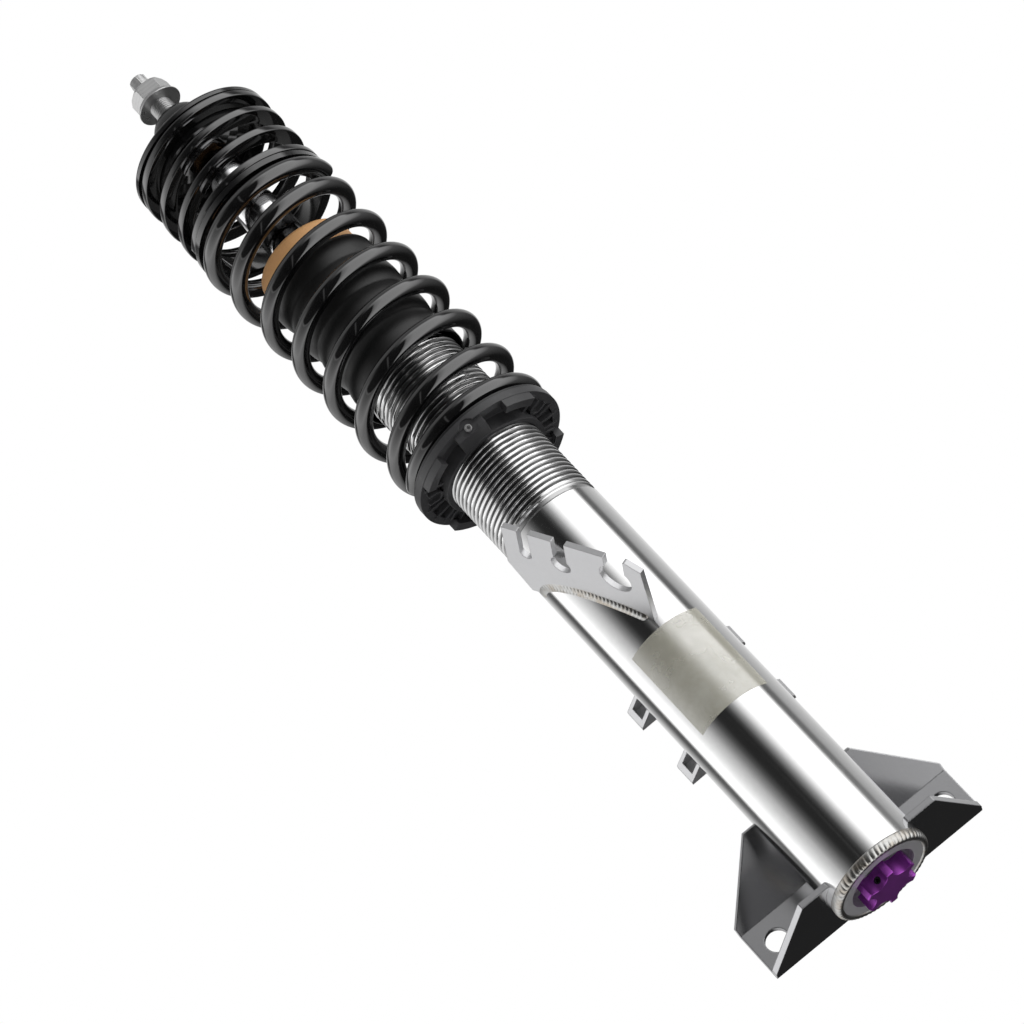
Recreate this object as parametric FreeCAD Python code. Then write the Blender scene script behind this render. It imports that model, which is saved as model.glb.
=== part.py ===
"""Front strut with an adjustable spring seat: every piece as a separate solid.

Sizes are in millimetres. The pieces are drawn about the strut's own axis, with height counted up from
the face of the bottom cap. seat_in_frame then moves each one so that the origin is the centre of the
two knuckle bolts, on the face that meets the knuckle. +Z runs up the strut towards the threaded stud,
and +Y points at the knuckle.
"""
import FreeCAD
import Part

import math
import os

V = FreeCAD.Vector
UP = V(0, 0, 1)
ON_AXIS = V(0, 0, 0)

# fits
RUNNING = 0.06
LOOSE = 0.30
SNUG = 0.02

# strut tube and its thread
tube_radius = 26.2
tube_wall = 2.6
tube_foot = 4.0
tube_top = 352.0
thread_start = 241.5
thread_pitch = 3.0
thread_depth = 1.35
thread_crest = 0.7
thread_root = 0.5
relief_height = 3.4
relief_depth = 0.7
tube_bore = tube_radius - tube_wall

# bottom cap with its weld
cap_face = 0.0
cap_height = 13.0
cap_well_radius = 17.6
cap_well_depth = 9.0
cap_rim_setback = 0.7
needle_radius = 3.95
weld_proud = 0.25
weld_height = 5.2
weld_inner = 22.6
weld_ripples = 64
weld_ripple_depth = 0.22

# damping knob under the cap
knob_radius = 14.4
knob_foot = -5.6
knob_head = 3.4
knob_lobes = 6
knob_scallop_radius = 5.8
knob_scallop_centre = 15.0
knob_lid = 1.6
knob_screw_angle = -117.0
knob_edge = 0.7
needle_top = 34.0
needle_tip_radius = 1.6
needle_tip_length = 4.0
clamp_screw_radius = 1.8
clamp_screw_sink = 0.4
clamp_screw_socket_depth = 1.6
clamp_screw_height = -1.4

# knuckle bracket
bracket_half_width = 60.4
sheet = 3.2
web_inner_face = 32.0
lower_flange_foot = 8.6
bracket_bend_height = 34.8
lower_flange_front = -13.0
lower_flange_front_half = 38.2
lower_flange_end_depth = 3.0
gusset_front = 10.3
gusset_top = 63.4
gusset_front_half = 31.2
gusset_end_depth = 2.2
bolt_hole_radius = 5.75
bolt_edge_distance = 11.4
bolt_height = 22.5
bend_radius = 2.0
tube_gap = 0.05
bracket_bead = 2.6
bolt_half_spacing = bracket_half_width - bolt_edge_distance

# bracket for the brake line and wires, on a plane through the tube
# its visible face holds the points where height = line_face_height + slope_x * x + slope_y * y
line_face_height = 144.5
line_slope_x = -2.62
line_slope_y = -0.4
line_sheet = 3.0
line_bead = 2.3
line_tip = 1.5
line_tip_reach = -1.5
line_outer_low_u = 5.5
line_outer_low_v = 36.3
line_outer_peak_u = 13.9
line_outer_peak_v = 38.3
line_outer_high_u = 82.0
line_outer_high_v = 20.6
line_back_v = -7.5
line_back_low_u = 70.5
line_back_low_v = -24.0
slot_places = ((20.2, 21.5, 8.6, 5.4), (50.7, 11.0, 5.3, 3.6), (70.4, 6.4, 3.3, 3.1))

# two guide clips behind the tube, each a little askew to the knuckle bracket
clip_half_width = 31.2
clip_height = 11.3
clip_sheet = 2.0
clip_end_wall = 2.5
clip_end_depth = 2.6
clip_slant = 37.0
clip_turn = -3.0
clip_front = 12.0
clip_heights = (106.3, 143.3)

# plain film on the front of the tube
film_foot = 101.0
film_height = 51.5
film_half_angle = 46.0
film_thickness = 0.15
film_gap = 0.05

# inner cylinder, foot valve and rod guide
cylinder_bore = 17.5
cylinder_wall = 1.5
foot_valve_foot = 22.0
foot_valve_height = 16.0
foot_valve_land = 8.0
shim_thickness = 0.3
shim_count = 4
foot_disc_radius = 14.5
rebound_disc_radius = 13.5
shim_gap = 0.1
guide_height = 20.0
guide_spigot = 6.0
gland_height = 14.0
gland_flange_height = 4.0
gland_flange_radius = 24.4
gland_pocket_radius = 17.0
gland_pocket_depth = 9.0
gland_pin_holes = 4
gland_pin_radius = 2.2
gland_pin_circle = 19.2
bush_wall = 1.5
seal_height = 6.0
wiper_height = 2.6
oring_section = 1.1

# piston rod and what rides on it
rod_radius = 11.0
rod_bore = 2.5
rod_end_length = 10.0
rod_shoulder_depth = 9.7
stud_radius = 6.0
stud_shank_radius = 6.3
stud_thread_radius = 5.75
stud_wall_gap = 0.3
stud_thread_proud = 2.0
stud_hex_flats = 8.6
stud_hex_height = 7.7
spindle_proud = 0.8
spindle_clearance = 0.08
spindle_socket_flats = 2.5
spindle_socket_depth = 2.5
piston_height = 18.0
piston_to_stop = 14.0
piston_clearance = 0.3
piston_spigot = 7.0
band_height = 10.0
band_wall = 1.2
piston_nut_height = 8.0
piston_nut_flats = 19.0
stop_ring_height = 4.0
stop_ring_radius = 15.5
bumper_radius = 15.0
bumper_height = 19.7

# top plate, hat, nut
plate_radius = 39.8
plate_rim = 3.4
plate_wall = 3.2
plate_edge = 1.5
plate_hub_radius = 15.2
plate_hub_rise = 16.4
plate_lip_radius = 31.2
plate_lip_wall = 2.0
plate_lip_depth = 8.0
hat_height = 9.5
hat_top_radius = 8.0
hat_flare = 1.4
nut_gap = 10.0
nut_height = 11.2
nut_flats = 19.0
nut_flange_radius = 12.1
nut_flange_height = 2.4
nut_chamfer = 1.1

# bump stop and dust boot
stroke_room = 66.6
bump_radius = 26.0
bump_neck_height = 3.4
bump_neck_radius = 20.0
bump_height = 20.4
bump_round = 3.0
boot_length = 76.0
boot_crest = 29.4
boot_valley = 27.6
boot_wall = 0.9
boot_cuff = 9.0
boot_folds = 3
boot_lid = 2.0

# main spring
wire_radius = 4.45
coil_radius = 37.05
coil_turns = 7.45
coil_foot = 295.0
coil_length = 179.3
coil_end_turns = 0.32
coil_end_pitch = 6.0
coil_ramp_turns = 0.48
coil_start_angle = 187.0

# helper spring of flat wire
flat_thickness = 4.0
flat_width = 8.5
helper_radius = 35.7
helper_turns = 3.5
helper_end_turns = 0.25
helper_end_pitch = 2.3
helper_ramp_turns = 0.20
helper_start_angle = 190.0
helper_length = 49.7

# spacer between the springs
spacer_rim_radius = 40.0
spacer_height = 3.2
spacer_bore = 29.9
spacer_lip_depth = 4.0
spacer_lip_radius = 32.2
spacer_upper_lip_radius = 31.2

# spring seat ring and threaded collar
seat_thickness = 1.5
seat_radius = 41.0
seat_lip_radius = 32.2
seat_lip_wall = 2.2
seat_lip_height = 5.0
collar_radius = 41.3
collar_rim_height = 4.0
collar_rim_wall = 4.2
collar_plate = 1.6
collar_hub_depth = 8.9
collar_hub_wall = 2.7
lug_inner = 36.4
lug_outer = 41.0
lug_depth = 8.6
lug_angle = 25.0
lug_places = (42.0, 134.0)
rib_width = 1.7
rib_depth = 4.8
rib_places = (61.0, 87.0, 101.0, 113.0, 149.0)
boss_radius = 3.7
boss_circle = 32.7
boss_wall = 1.2
boss_depth = 5.6
boss_dish_depth = 2.0
boss_places = (73.0, 122.0, 163.0)
screw_block_width = 16.4
screw_block_depth = 8.6
grub_radius = 1.8
grub_length = 14.0
grub_socket_flats = 1.9
grub_socket_depth = 1.6
grub_tilt = 15.0
grub_proud = 1.5
grub_setback = 1.9
grub_drop = 5.6
grub_sink_radius = 4.6
grub_angle = -97.0

# places that follow from the sizes above
strut_axis_y = -(web_inner_face + sheet)
collar_top = coil_foot - seat_thickness
coil_top = coil_foot + coil_length
plate_foot = coil_top + spacer_height + helper_length
rod_shoulder = plate_foot + rod_shoulder_depth
plate_hub_top = plate_foot + plate_rim + plate_hub_rise
hat_top = plate_hub_top + hat_height
nut_foot = hat_top + nut_gap
stud_thread_top = nut_foot + nut_height + stud_thread_proud
stud_top = stud_thread_top + stud_hex_height
spindle_top = stud_top + spindle_proud
guide_foot = tube_top - gland_height - guide_height
stop_ring_foot = guide_foot - LOOSE - bumper_height - stop_ring_height
piston_foot = stop_ring_foot - piston_to_stop - piston_height
rod_foot = piston_foot - rod_end_length
bump_foot = tube_top + gland_flange_height + stroke_room
bump_top = bump_foot + bump_height
boot_top = bump_foot + bump_neck_height
boot_foot = boot_top - boot_length
SAMPLES_PER_TURN = 72
LEAST_GAP = 0.4


def revolved(outline):
    """Turn a closed outline of (radius, height) points about the strut's axis."""
    points = [V(r, 0, z) for r, z in outline]
    face = Part.Face(Part.makePolygon(points + points[:1]))
    return face.revolve(ON_AXIS, UP, 360)


def ring(inner, outer, foot, top):
    """A plain ring about the strut's axis."""
    body = Part.makeCylinder(outer, top - foot, V(0, 0, foot))
    if inner <= 0:
        return body
    return body.cut(Part.makeCylinder(inner, top - foot, V(0, 0, foot)))


def turned(shape, angle):
    """A copy of a shape turned about the strut's axis by an angle in degrees."""
    copy = shape.copy()
    copy.rotate(ON_AXIS, UP, angle)
    return copy


def fused(shapes):
    """One shape from several, with the seams between flush faces removed."""
    return shapes[0].multiFuse(shapes[1:]).removeSplitter()


def prism(points, foot, height):
    """A flat outline of (x, y) points, raised along Z."""
    corners = [V(x, y, foot) for x, y in points]
    return Part.Face(Part.makePolygon(corners + corners[:1])).extrude(V(0, 0, height))


def hexagon(flats, foot, height):
    """A hexagonal bar about the strut's axis."""
    corner = flats / math.sqrt(3)
    points = [(corner * math.cos(math.radians(60 * k)), corner * math.sin(math.radians(60 * k)))
              for k in range(6)]
    return prism(points, foot, height)


def filleted(shape, radius, chosen):
    """Round the edges that the test chosen picks."""
    edges = [edge for edge in shape.Edges if chosen(edge)]
    return shape.makeFillet(radius, edges)


def circle_edge_at(height, radius, margin=0.01):
    """A test for the round edge at one height and radius."""
    def chosen(edge):
        curve = edge.Curve
        if not isinstance(curve, Part.Circle):
            return False
        return abs(curve.Center.z - height) < margin and abs(curve.Radius - radius) < margin
    return chosen


def seat_in_frame(shape):
    """Move a shape from the strut's own axes to the part's frame."""
    placed = shape.copy()
    placed.translate(V(0, strut_axis_y, -bolt_height))
    return placed


def strut_tube():
    """The damper's outer tube, with its thread drawn as rings."""
    thread_top = tube_top - thread_pitch
    outline = [(tube_bore, tube_foot), (tube_radius, tube_foot)]
    relief_foot = thread_start - relief_height
    outline += [(tube_radius, relief_foot), (tube_radius - relief_depth, relief_foot + relief_depth),
                (tube_radius - relief_depth, thread_start - relief_depth), (tube_radius, thread_start)]
    flank = (thread_pitch - thread_crest - thread_root) / 2
    turns = int((thread_top - thread_start) / thread_pitch)
    for turn in range(turns):
        foot = thread_start + turn * thread_pitch
        outline += [(tube_radius, foot + thread_crest),
                    (tube_radius - thread_depth, foot + thread_crest + flank),
                    (tube_radius - thread_depth, foot + thread_crest + flank + thread_root),
                    (tube_radius, foot + thread_pitch)]
    outline += [(tube_radius, tube_top - relief_depth), (tube_radius - relief_depth, tube_top),
                (tube_bore, tube_top)]
    return revolved(outline)


def bottom_cap():
    """The plug in the tube's foot, with a well for the knob and a bore for its needle."""
    plug = ring(needle_radius + RUNNING, tube_bore, cap_face + cap_rim_setback, cap_height)
    well = ring(0, cap_well_radius, cap_face - 1, cap_well_depth)
    return plug.cut(well)


def cap_weld():
    """The rippled bead that joins the cap and the tube."""
    crown = tube_radius + weld_proud
    bead = revolved([(weld_inner, cap_face + cap_rim_setback), (weld_inner + 1.2, cap_face),
                     (crown - 1.6, cap_face), (crown - 0.4, cap_face + 0.9), (crown, cap_face + 2.4),
                     (crown - 0.1, weld_height - 0.6), (tube_radius, weld_height),
                     (tube_radius, tube_foot), (tube_bore, tube_foot),
                     (tube_bore, cap_face + cap_rim_setback)])
    slot = Part.makeBox(weld_ripple_depth * 2, weld_ripple_depth * 3, weld_height * 2,
                        V(crown - weld_ripple_depth, 0, cap_face - 1))
    slot.rotate(V(crown, 0, weld_height / 2), V(1, 0, 0), 18)
    step = 360 / weld_ripples
    return bead.cut(Part.makeCompound([turned(slot, step * k) for k in range(weld_ripples)]))


def compression_knob():
    """The scalloped knob under the cap."""
    body = ring(0, knob_radius, knob_foot, knob_head)
    body = filleted(body, knob_edge, circle_edge_at(knob_foot, knob_radius))
    scallop = Part.makeCylinder(knob_scallop_radius, knob_head - knob_foot + 2,
                                V(knob_scallop_centre, 0, knob_foot - 1))
    step = 360 / knob_lobes
    cuts = [turned(scallop, step_to_scallop() + step * k) for k in range(knob_lobes)]
    cuts.append(ring(0, needle_radius, knob_foot + knob_lid, knob_head + 1))
    cuts.append(clamp_screw_blank(clamp_screw_radius, knob_floor() + 1))
    return body.cut(Part.makeCompound(cuts))


def knob_floor():
    """Distance of a scallop's floor from the axis."""
    return knob_scallop_centre - knob_scallop_radius


def clamp_screw_blank(radius, reach):
    """A short bar from the needle out to a reach, where the knob's clamp screw sits."""
    bar = Part.makeCylinder(radius, reach - needle_radius, V(reach, 0, clamp_screw_height), V(-1, 0, 0))
    return turned(bar, step_to_scallop())


def step_to_scallop():
    """The angle of the scallop in which the clamp screw lies."""
    return knob_screw_angle


def knob_clamp_screw():
    """The small screw that clamps the knob on its needle."""
    head = knob_floor() - clamp_screw_sink
    bar = clamp_screw_blank(clamp_screw_radius - SNUG, head)
    socket = Part.makeCylinder(clamp_screw_radius / 2, clamp_screw_socket_depth,
                               V(head, 0, clamp_screw_height), V(-1, 0, 0))
    return bar.cut(turned(socket, step_to_scallop()))


def compression_needle():
    """The needle that the knob turns in the foot valve."""
    stem = ring(0, needle_radius - SNUG, knob_foot + knob_lid + SNUG, needle_top - needle_tip_length)
    taper = Part.makeCone(needle_radius - SNUG, needle_tip_radius, needle_tip_length,
                          V(0, 0, needle_top - needle_tip_length))
    return stem.fuse(taper)


def gusset_solid():
    """The bracket's upper plate, which leans forward and up from the web."""
    back = web_inner_face + sheet
    run = web_inner_face - gusset_front
    rise = gusset_top - bracket_bend_height
    length = math.hypot(run, rise)
    slope = V(0, -run / length, rise / length)
    normal = V(0, rise / length, run / length)
    end_length = length * (web_inner_face - gusset_end_depth - gusset_front) / run
    corner = V(0, web_inner_face, bracket_bend_height)

    def at(x, along):
        return corner + slope * along + V(x, 0, 0)

    half, front = bracket_half_width, gusset_front_half
    start = length - end_length
    corners = [at(-half, 0), at(half, 0), at(half, start), at(front, length), at(-front, length),
               at(-half, start)]
    plate = Part.Face(Part.makePolygon(corners + corners[:1])).extrude(normal * sheet)
    lower = bracket_bend_height
    heel = Part.Face(Part.makePolygon([V(-half, web_inner_face, lower), V(-half, back, lower),
                                       V(-half, web_inner_face + sheet * rise / length,
                                         lower + sheet * run / length),
                                       V(-half, web_inner_face, lower)]))
    return plate.fuse(heel.extrude(V(2 * half, 0, 0)))


def knuckle_bracket():
    """The sheet bracket behind the tube, bolted to the knuckle through its web."""
    half = bracket_half_width
    back = web_inner_face + sheet
    end = web_inner_face - lower_flange_end_depth
    front, front_half = lower_flange_front, lower_flange_front_half
    flange = prism([(-front_half, front), (front_half, front), (half, end), (half, back), (-half, back),
                    (-half, end)], lower_flange_foot, sheet)
    web = Part.makeBox(2 * half, sheet, bracket_bend_height - lower_flange_foot,
                       V(-half, web_inner_face, lower_flange_foot))
    body = fused([web, flange, gusset_solid()])

    def heel_edge(edge):
        ends = [vertex.Point for vertex in edge.Vertexes]
        if len(ends) != 2 or abs(ends[0].x - ends[1].x) < 2 * half - 1:
            return False
        low = abs(ends[0].z - lower_flange_foot) < 0.01 and abs(ends[0].y - back) < 0.01
        return low
    body = filleted(body, bend_radius, heel_edge)
    tube_space = Part.makeCylinder(tube_radius + tube_gap, gusset_top * 2, ON_AXIS)
    holes = [Part.makeCylinder(bolt_hole_radius, sheet * 3, V(x, web_inner_face - sheet, bolt_height),
                               V(0, 1, 0)) for x in (-bolt_half_spacing, bolt_half_spacing)]
    return body.cut(Part.makeCompound([tube_space] + holes))


def bracket_welds():
    """The beads between the knuckle bracket and the tube, above and below its plates."""
    outer = tube_radius + bracket_bead
    cuff = ring(tube_radius, outer, lower_flange_foot, gusset_top + sheet)
    top = lower_flange_foot + sheet
    half = 2 * tube_radius
    lower = Part.makeBox(2 * half, half, bracket_bead, V(-half, lower_flange_front + 4, top))
    run = web_inner_face - gusset_front
    rise = gusset_top - bracket_bend_height
    length = math.hypot(run, rise)
    normal = V(0, rise / length, run / length)
    slope = V(0, -run / length, rise / length)
    corner = V(0, web_inner_face, bracket_bend_height) + normal * sheet
    corners = [corner + V(x, 0, 0) + slope * along
               for x, along in ((-half, -sheet), (half, -sheet), (half, length - 1), (-half, length - 1))]
    upper = Part.Face(Part.makePolygon(corners + corners[:1])).extrude(normal * bracket_bead)
    return Part.makeCompound([cuff.common(lower), cuff.common(upper)])


def line_plane():
    """Origin and directions of the line bracket's face: along its teeth, outwards and its normal."""
    normal = V(line_slope_x, line_slope_y, -1).normalize()
    along = V(-1, 0, -line_slope_x)
    along = (along - normal * along.dot(normal)).normalize()
    outward = along.cross(normal).normalize()
    if outward.y > 0:
        outward = outward * -1
    origin = V(0, -tube_radius, line_face_height - line_slope_y * tube_radius)
    return origin, along, outward, normal


def line_outline(points, offset, thickness):
    """Raise an outline drawn on the line bracket's face into a plate behind that face."""
    origin, along, outward, normal = line_plane()
    corners = [origin + along * u + outward * v - normal * offset for u, v in points]
    return Part.Face(Part.makePolygon(corners + corners[:1])).extrude(normal * -thickness)


def line_bracket():
    """The toothed plate for the brake line and wires, with three open keyhole slots."""
    outline = [(line_tip, line_tip_reach), (line_outer_low_u, line_outer_low_v),
               (line_outer_peak_u, line_outer_peak_v), (line_outer_high_u, line_outer_high_v),
               (line_outer_high_u, line_back_v), (line_back_low_u, line_back_low_v)]
    plate = line_outline(outline, 0, line_sheet)
    origin, along, outward, normal = line_plane()
    cuts = [Part.makeCylinder(tube_radius + tube_gap, tube_top, ON_AXIS)]
    for u, v, radius, half_neck in slot_places:
        centre = origin + along * u + outward * v + normal * line_sheet
        cuts.append(Part.makeCylinder(radius, 3 * line_sheet, centre, normal * -1))
        neck = [(u - half_neck, v), (u + half_neck, v), (u + half_neck, 2 * line_outer_peak_v),
                (u - half_neck, 2 * line_outer_peak_v)]
        cuts.append(line_outline(neck, -line_sheet, 3 * line_sheet))
    return plate.cut(Part.makeCompound(cuts))


def line_bracket_weld():
    """The bead along the line bracket's foot, on the side that faces down."""
    reach = line_back_low_u + 2
    slab = line_outline([(line_tip + 1, -reach), (line_tip + 1, reach), (reach, reach), (reach, -reach)],
                        -line_bead, line_bead)
    cuff = ring(tube_radius, tube_radius + line_bead, line_face_height, line_face_height + 2 * reach)
    front = Part.makeBox(4 * tube_radius, 2 * tube_radius, 4 * reach,
                         V(-2 * tube_radius, -2 * tube_radius - 1, line_face_height - reach))
    return cuff.common(slab).common(front)


def guide_clip(foot):
    """One shallow tray behind the tube, open towards the front."""
    back = tube_radius + clip_sheet
    half = clip_half_width
    tray = Part.makeBox(2 * half, back - clip_front, clip_height, V(-half, clip_front, foot))
    hollow = Part.makeBox(2 * (half - clip_end_wall), back - clip_front - clip_sheet,
                          clip_height - 2 * clip_sheet,
                          V(-half + clip_end_wall, clip_front - 0.01, foot + clip_sheet))
    cuts = [hollow, Part.makeCylinder(tube_radius + tube_gap, clip_height + 2, V(0, 0, foot - 1))]
    slant_depth = back - clip_end_depth - clip_front + 1
    slant_reach = slant_depth * math.tan(math.radians(clip_slant))
    for side in (-1, 1):
        cuts.append(prism([(side * (half + 1), clip_front - 1), (side * (half + 1), back - clip_end_depth),
                           (side * half, back - clip_end_depth), (side * (half - slant_reach), clip_front - 1)],
                          foot - 1, clip_height + 2))
    return turned(tray.cut(Part.makeCompound(cuts)), clip_turn)


def guide_clips():
    """Both guide clips."""
    return Part.makeCompound([guide_clip(foot) for foot in clip_heights])


def tube_film():
    """A thin plain film on the front of the tube."""
    inner = tube_radius + film_gap
    body = Part.makeCylinder(inner + film_thickness, film_height, V(0, 0, film_foot), UP,
                             2 * film_half_angle)
    body = body.cut(Part.makeCylinder(inner, film_height, V(0, 0, film_foot)))
    return turned(body, -90 - film_half_angle)


def inner_cylinder():
    """The pressure cylinder in which the piston runs."""
    top = guide_foot + guide_spigot
    return ring(cylinder_bore, cylinder_bore + cylinder_wall, foot_valve_foot + foot_valve_land, top)


def foot_valve():
    """The valve body that carries the cylinder's foot on the cap."""
    legs_top = foot_valve_foot
    outer = cylinder_bore + cylinder_wall
    bore = needle_radius + RUNNING
    outline = [(bore, cap_height), (outer + 2, cap_height), (outer + 2, legs_top),
               (outer, legs_top + foot_valve_land), (cylinder_bore, legs_top + foot_valve_land),
               (cylinder_bore - SNUG, legs_top + foot_valve_land),
               (cylinder_bore - SNUG, legs_top + foot_valve_height), (bore, legs_top + foot_valve_height)]
    body = revolved(outline)
    port = Part.makeCylinder(2.0, foot_valve_height + cap_height, V(11.0, 0, cap_height - 1))
    side = Part.makeCylinder(2.6, outer + 4, V(0, 0, cap_height + 4.5), V(1, 0, 0))
    ports = [turned(port, 60 * k) for k in range(6)] + [turned(side, 90 * k + 30) for k in range(4)]
    return body.cut(Part.makeCompound(ports))


def disc_stack(inner, outer, foot, count, step_down=1.2):
    """A stack of thin valve discs, each a little smaller than the one before."""
    stack = []
    for k in range(count):
        base = foot + k * (shim_thickness + shim_gap)
        stack.append(ring(inner, outer - k * step_down, base, base + shim_thickness))
    return Part.makeCompound(stack)


def foot_valve_discs():
    """The spring discs on top of the foot valve."""
    foot = foot_valve_foot + foot_valve_height + SNUG
    return disc_stack(needle_radius + RUNNING, foot_disc_radius, foot, shim_count)


def rod_guide():
    """The guide that closes the cylinder and centres the rod."""
    foot = guide_foot
    top = foot + guide_height
    bore = rod_radius + RUNNING + bush_wall
    spigot = cylinder_bore + cylinder_wall
    return revolved([(bore, foot), (cylinder_bore - SNUG, foot), (cylinder_bore - SNUG, foot + guide_spigot),
                     (spigot, foot + guide_spigot), (spigot, foot + guide_spigot + 4),
                     (tube_bore - SNUG, foot + guide_spigot + 8), (tube_bore - SNUG, top), (bore, top)])


def guide_bush():
    """The lined bush in which the rod slides."""
    foot = guide_foot
    inner = rod_radius + RUNNING
    return ring(inner, inner + bush_wall, foot + 1, foot + guide_height - 1)


def oil_seal():
    """The seal above the guide."""
    foot = guide_foot + guide_height
    inner = rod_radius + RUNNING
    return revolved([(inner, foot + 1), (inner + 1.2, foot), (gland_pocket_radius - SNUG, foot),
                     (gland_pocket_radius - SNUG, foot + seal_height), (inner + 3, foot + seal_height),
                     (inner, foot + seal_height - 1.5)])


def rod_wiper():
    """The wiper ring above the seal."""
    foot = guide_foot + guide_height + seal_height + SNUG
    inner = rod_radius + RUNNING
    return revolved([(inner + 0.8, foot), (gland_pocket_radius - SNUG, foot),
                     (gland_pocket_radius - SNUG, foot + wiper_height),
                     (inner + 1.5, foot + wiper_height), (inner, foot + wiper_height - 0.8)])


def gland_nut():
    """The ring nut that closes the tube, with pin holes for its spanner."""
    foot = tube_top - gland_height
    top = tube_top + gland_flange_height
    bore = rod_radius + 2 * LOOSE
    pocket_top = foot + gland_pocket_depth
    groove = oring_section * 1.6
    outer = tube_bore - SNUG
    body = revolved([(gland_pocket_radius, foot), (outer, foot), (outer, tube_top - groove - 2),
                     (outer - oring_section, tube_top - groove - 2), (outer - oring_section, tube_top - 2),
                     (outer, tube_top - 2), (outer, tube_top), (gland_flange_radius, tube_top),
                     (gland_flange_radius, top - 1), (gland_flange_radius - 1, top), (bore, top),
                     (bore, pocket_top), (gland_pocket_radius, pocket_top)])
    hole = Part.makeCylinder(gland_pin_radius, gland_flange_height, V(gland_pin_circle, 0, top - 3))
    step = 360 / gland_pin_holes
    return body.cut(Part.makeCompound([turned(hole, step * k + 20) for k in range(gland_pin_holes)]))


def gland_oring():
    """The ring of round section in the gland nut's groove."""
    groove = oring_section * 1.6
    radius = tube_bore - SNUG - oring_section / 2
    return Part.makeTorus(radius, oring_section / 2 - SNUG, V(0, 0, tube_top - 2 - groove / 2))


def piston_rod():
    """The hollow rod, necked to a stud at the top and to a spigot at the foot."""
    spigot_top = piston_foot + piston_height
    body = revolved([(rod_bore, rod_foot), (piston_spigot, rod_foot), (piston_spigot, spigot_top),
                     (rod_radius, spigot_top), (rod_radius, rod_shoulder - 1), (rod_radius - 1, rod_shoulder),
                     (stud_shank_radius, rod_shoulder), (stud_shank_radius, hat_top),
                     (stud_radius, hat_top + stud_wall_gap), (stud_radius, nut_foot - stud_wall_gap),
                     (stud_thread_radius, nut_foot), (stud_thread_radius, stud_thread_top - 0.8),
                     (stud_thread_radius - 0.8, stud_thread_top), (rod_bore, stud_thread_top)])
    tip = hexagon(stud_hex_flats, stud_thread_top - 1, stud_top - stud_thread_top + 1)
    tip = tip.common(Part.makeCone(stud_radius + 3, stud_hex_flats / 2, 12, V(0, 0, stud_top - 12)))
    return fused([body, tip]).cut(ring(0, rod_bore, rod_foot - 1, stud_top + 1))


def rebound_spindle():
    """The spindle inside the rod that sets the rebound valve, with a socket in its end."""
    body = ring(0, rod_bore - spindle_clearance, rod_foot + 2, spindle_top)
    return body.cut(hexagon(spindle_socket_flats, spindle_top - spindle_socket_depth, spindle_socket_depth + 1))


def piston():
    """The piston with its two rings of ports and a groove for the band."""
    outer = cylinder_bore - piston_clearance
    top = piston_foot + piston_height
    band_foot = piston_foot + (piston_height - band_height) / 2
    inner = outer - band_wall
    body = revolved([(piston_spigot + SNUG, piston_foot), (outer - 1, piston_foot), (outer, piston_foot + 1),
                     (outer, band_foot), (inner, band_foot), (inner, band_foot + band_height),
                     (outer, band_foot + band_height), (outer, top - 1), (outer - 1, top),
                     (piston_spigot + SNUG, top)])
    port = Part.makeCylinder(1.6, piston_height + 2, V(11.8, 0, piston_foot - 1))
    return body.cut(Part.makeCompound([turned(port, 45 * k) for k in range(8)]))


def piston_band():
    """The slippery band that runs in the cylinder."""
    foot = piston_foot + (piston_height - band_height) / 2
    inner = cylinder_bore - piston_clearance - band_wall
    return ring(inner + SNUG, cylinder_bore - RUNNING, foot + SNUG, foot + band_height - SNUG)


def rebound_discs():
    """The valve discs under the piston."""
    stack = disc_stack(piston_spigot + SNUG, rebound_disc_radius, 0, shim_count)
    upside_down = stack.mirror(ON_AXIS, UP)
    upside_down.translate(V(0, 0, piston_foot - SNUG))
    return upside_down


def piston_nut():
    """The nut that holds the discs and the piston on the rod."""
    top = piston_foot - SNUG - shim_count * (shim_thickness + shim_gap)
    body = hexagon(piston_nut_flats, top - piston_nut_height, piston_nut_height)
    return body.cut(ring(0, piston_spigot + SNUG, top - piston_nut_height - 1, top + 1))


def stop_ring():
    """The ring on the rod that carries the top-out bumper."""
    return ring(rod_radius + SNUG, stop_ring_radius, stop_ring_foot, stop_ring_foot + stop_ring_height)


def topout_bumper():
    """The rubber ring that meets the guide when the strut is fully out."""
    foot = stop_ring_foot + stop_ring_height + SNUG
    top = guide_foot - LOOSE
    inner = rod_radius + SNUG
    mid = (foot + top) / 2
    return revolved([(inner, foot), (bumper_radius, foot), (bumper_radius - 1.4, mid), (bumper_radius, top - 1),
                     (bumper_radius - 1, top), (inner, top)])


def top_plate():
    """The dished plate against which the helper spring pushes, rising in a hollow curve to its hub."""
    lip = plate_lip_radius - plate_lip_wall
    rim_top = plate_foot + plate_rim
    bore = stud_shank_radius + SNUG
    rise = plate_hub_top - rim_top
    span = plate_radius - plate_hub_radius
    dish = [(plate_hub_radius + span * (1 - share), rim_top + rise * share ** 2.6)
            for share in (0.15, 0.3, 0.45, 0.6, 0.72, 0.82, 0.9, 0.96, 1.0)]
    under = [(radius - plate_wall * 0.6, height - plate_wall) for radius, height in reversed(dish[1:6])]
    foot = [(bore, rod_shoulder), (under[0][0] - 2, rod_shoulder)]
    body = revolved(foot + under + [(lip, plate_foot), (lip, plate_foot - plate_lip_depth),
                    (plate_lip_radius, plate_foot - plate_lip_depth), (plate_lip_radius, plate_foot),
                    (plate_radius, plate_foot), (plate_radius, rim_top)] + dish + [(bore, plate_hub_top)])
    return filleted(body, plate_edge, circle_edge_at(rim_top, plate_radius))


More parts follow.
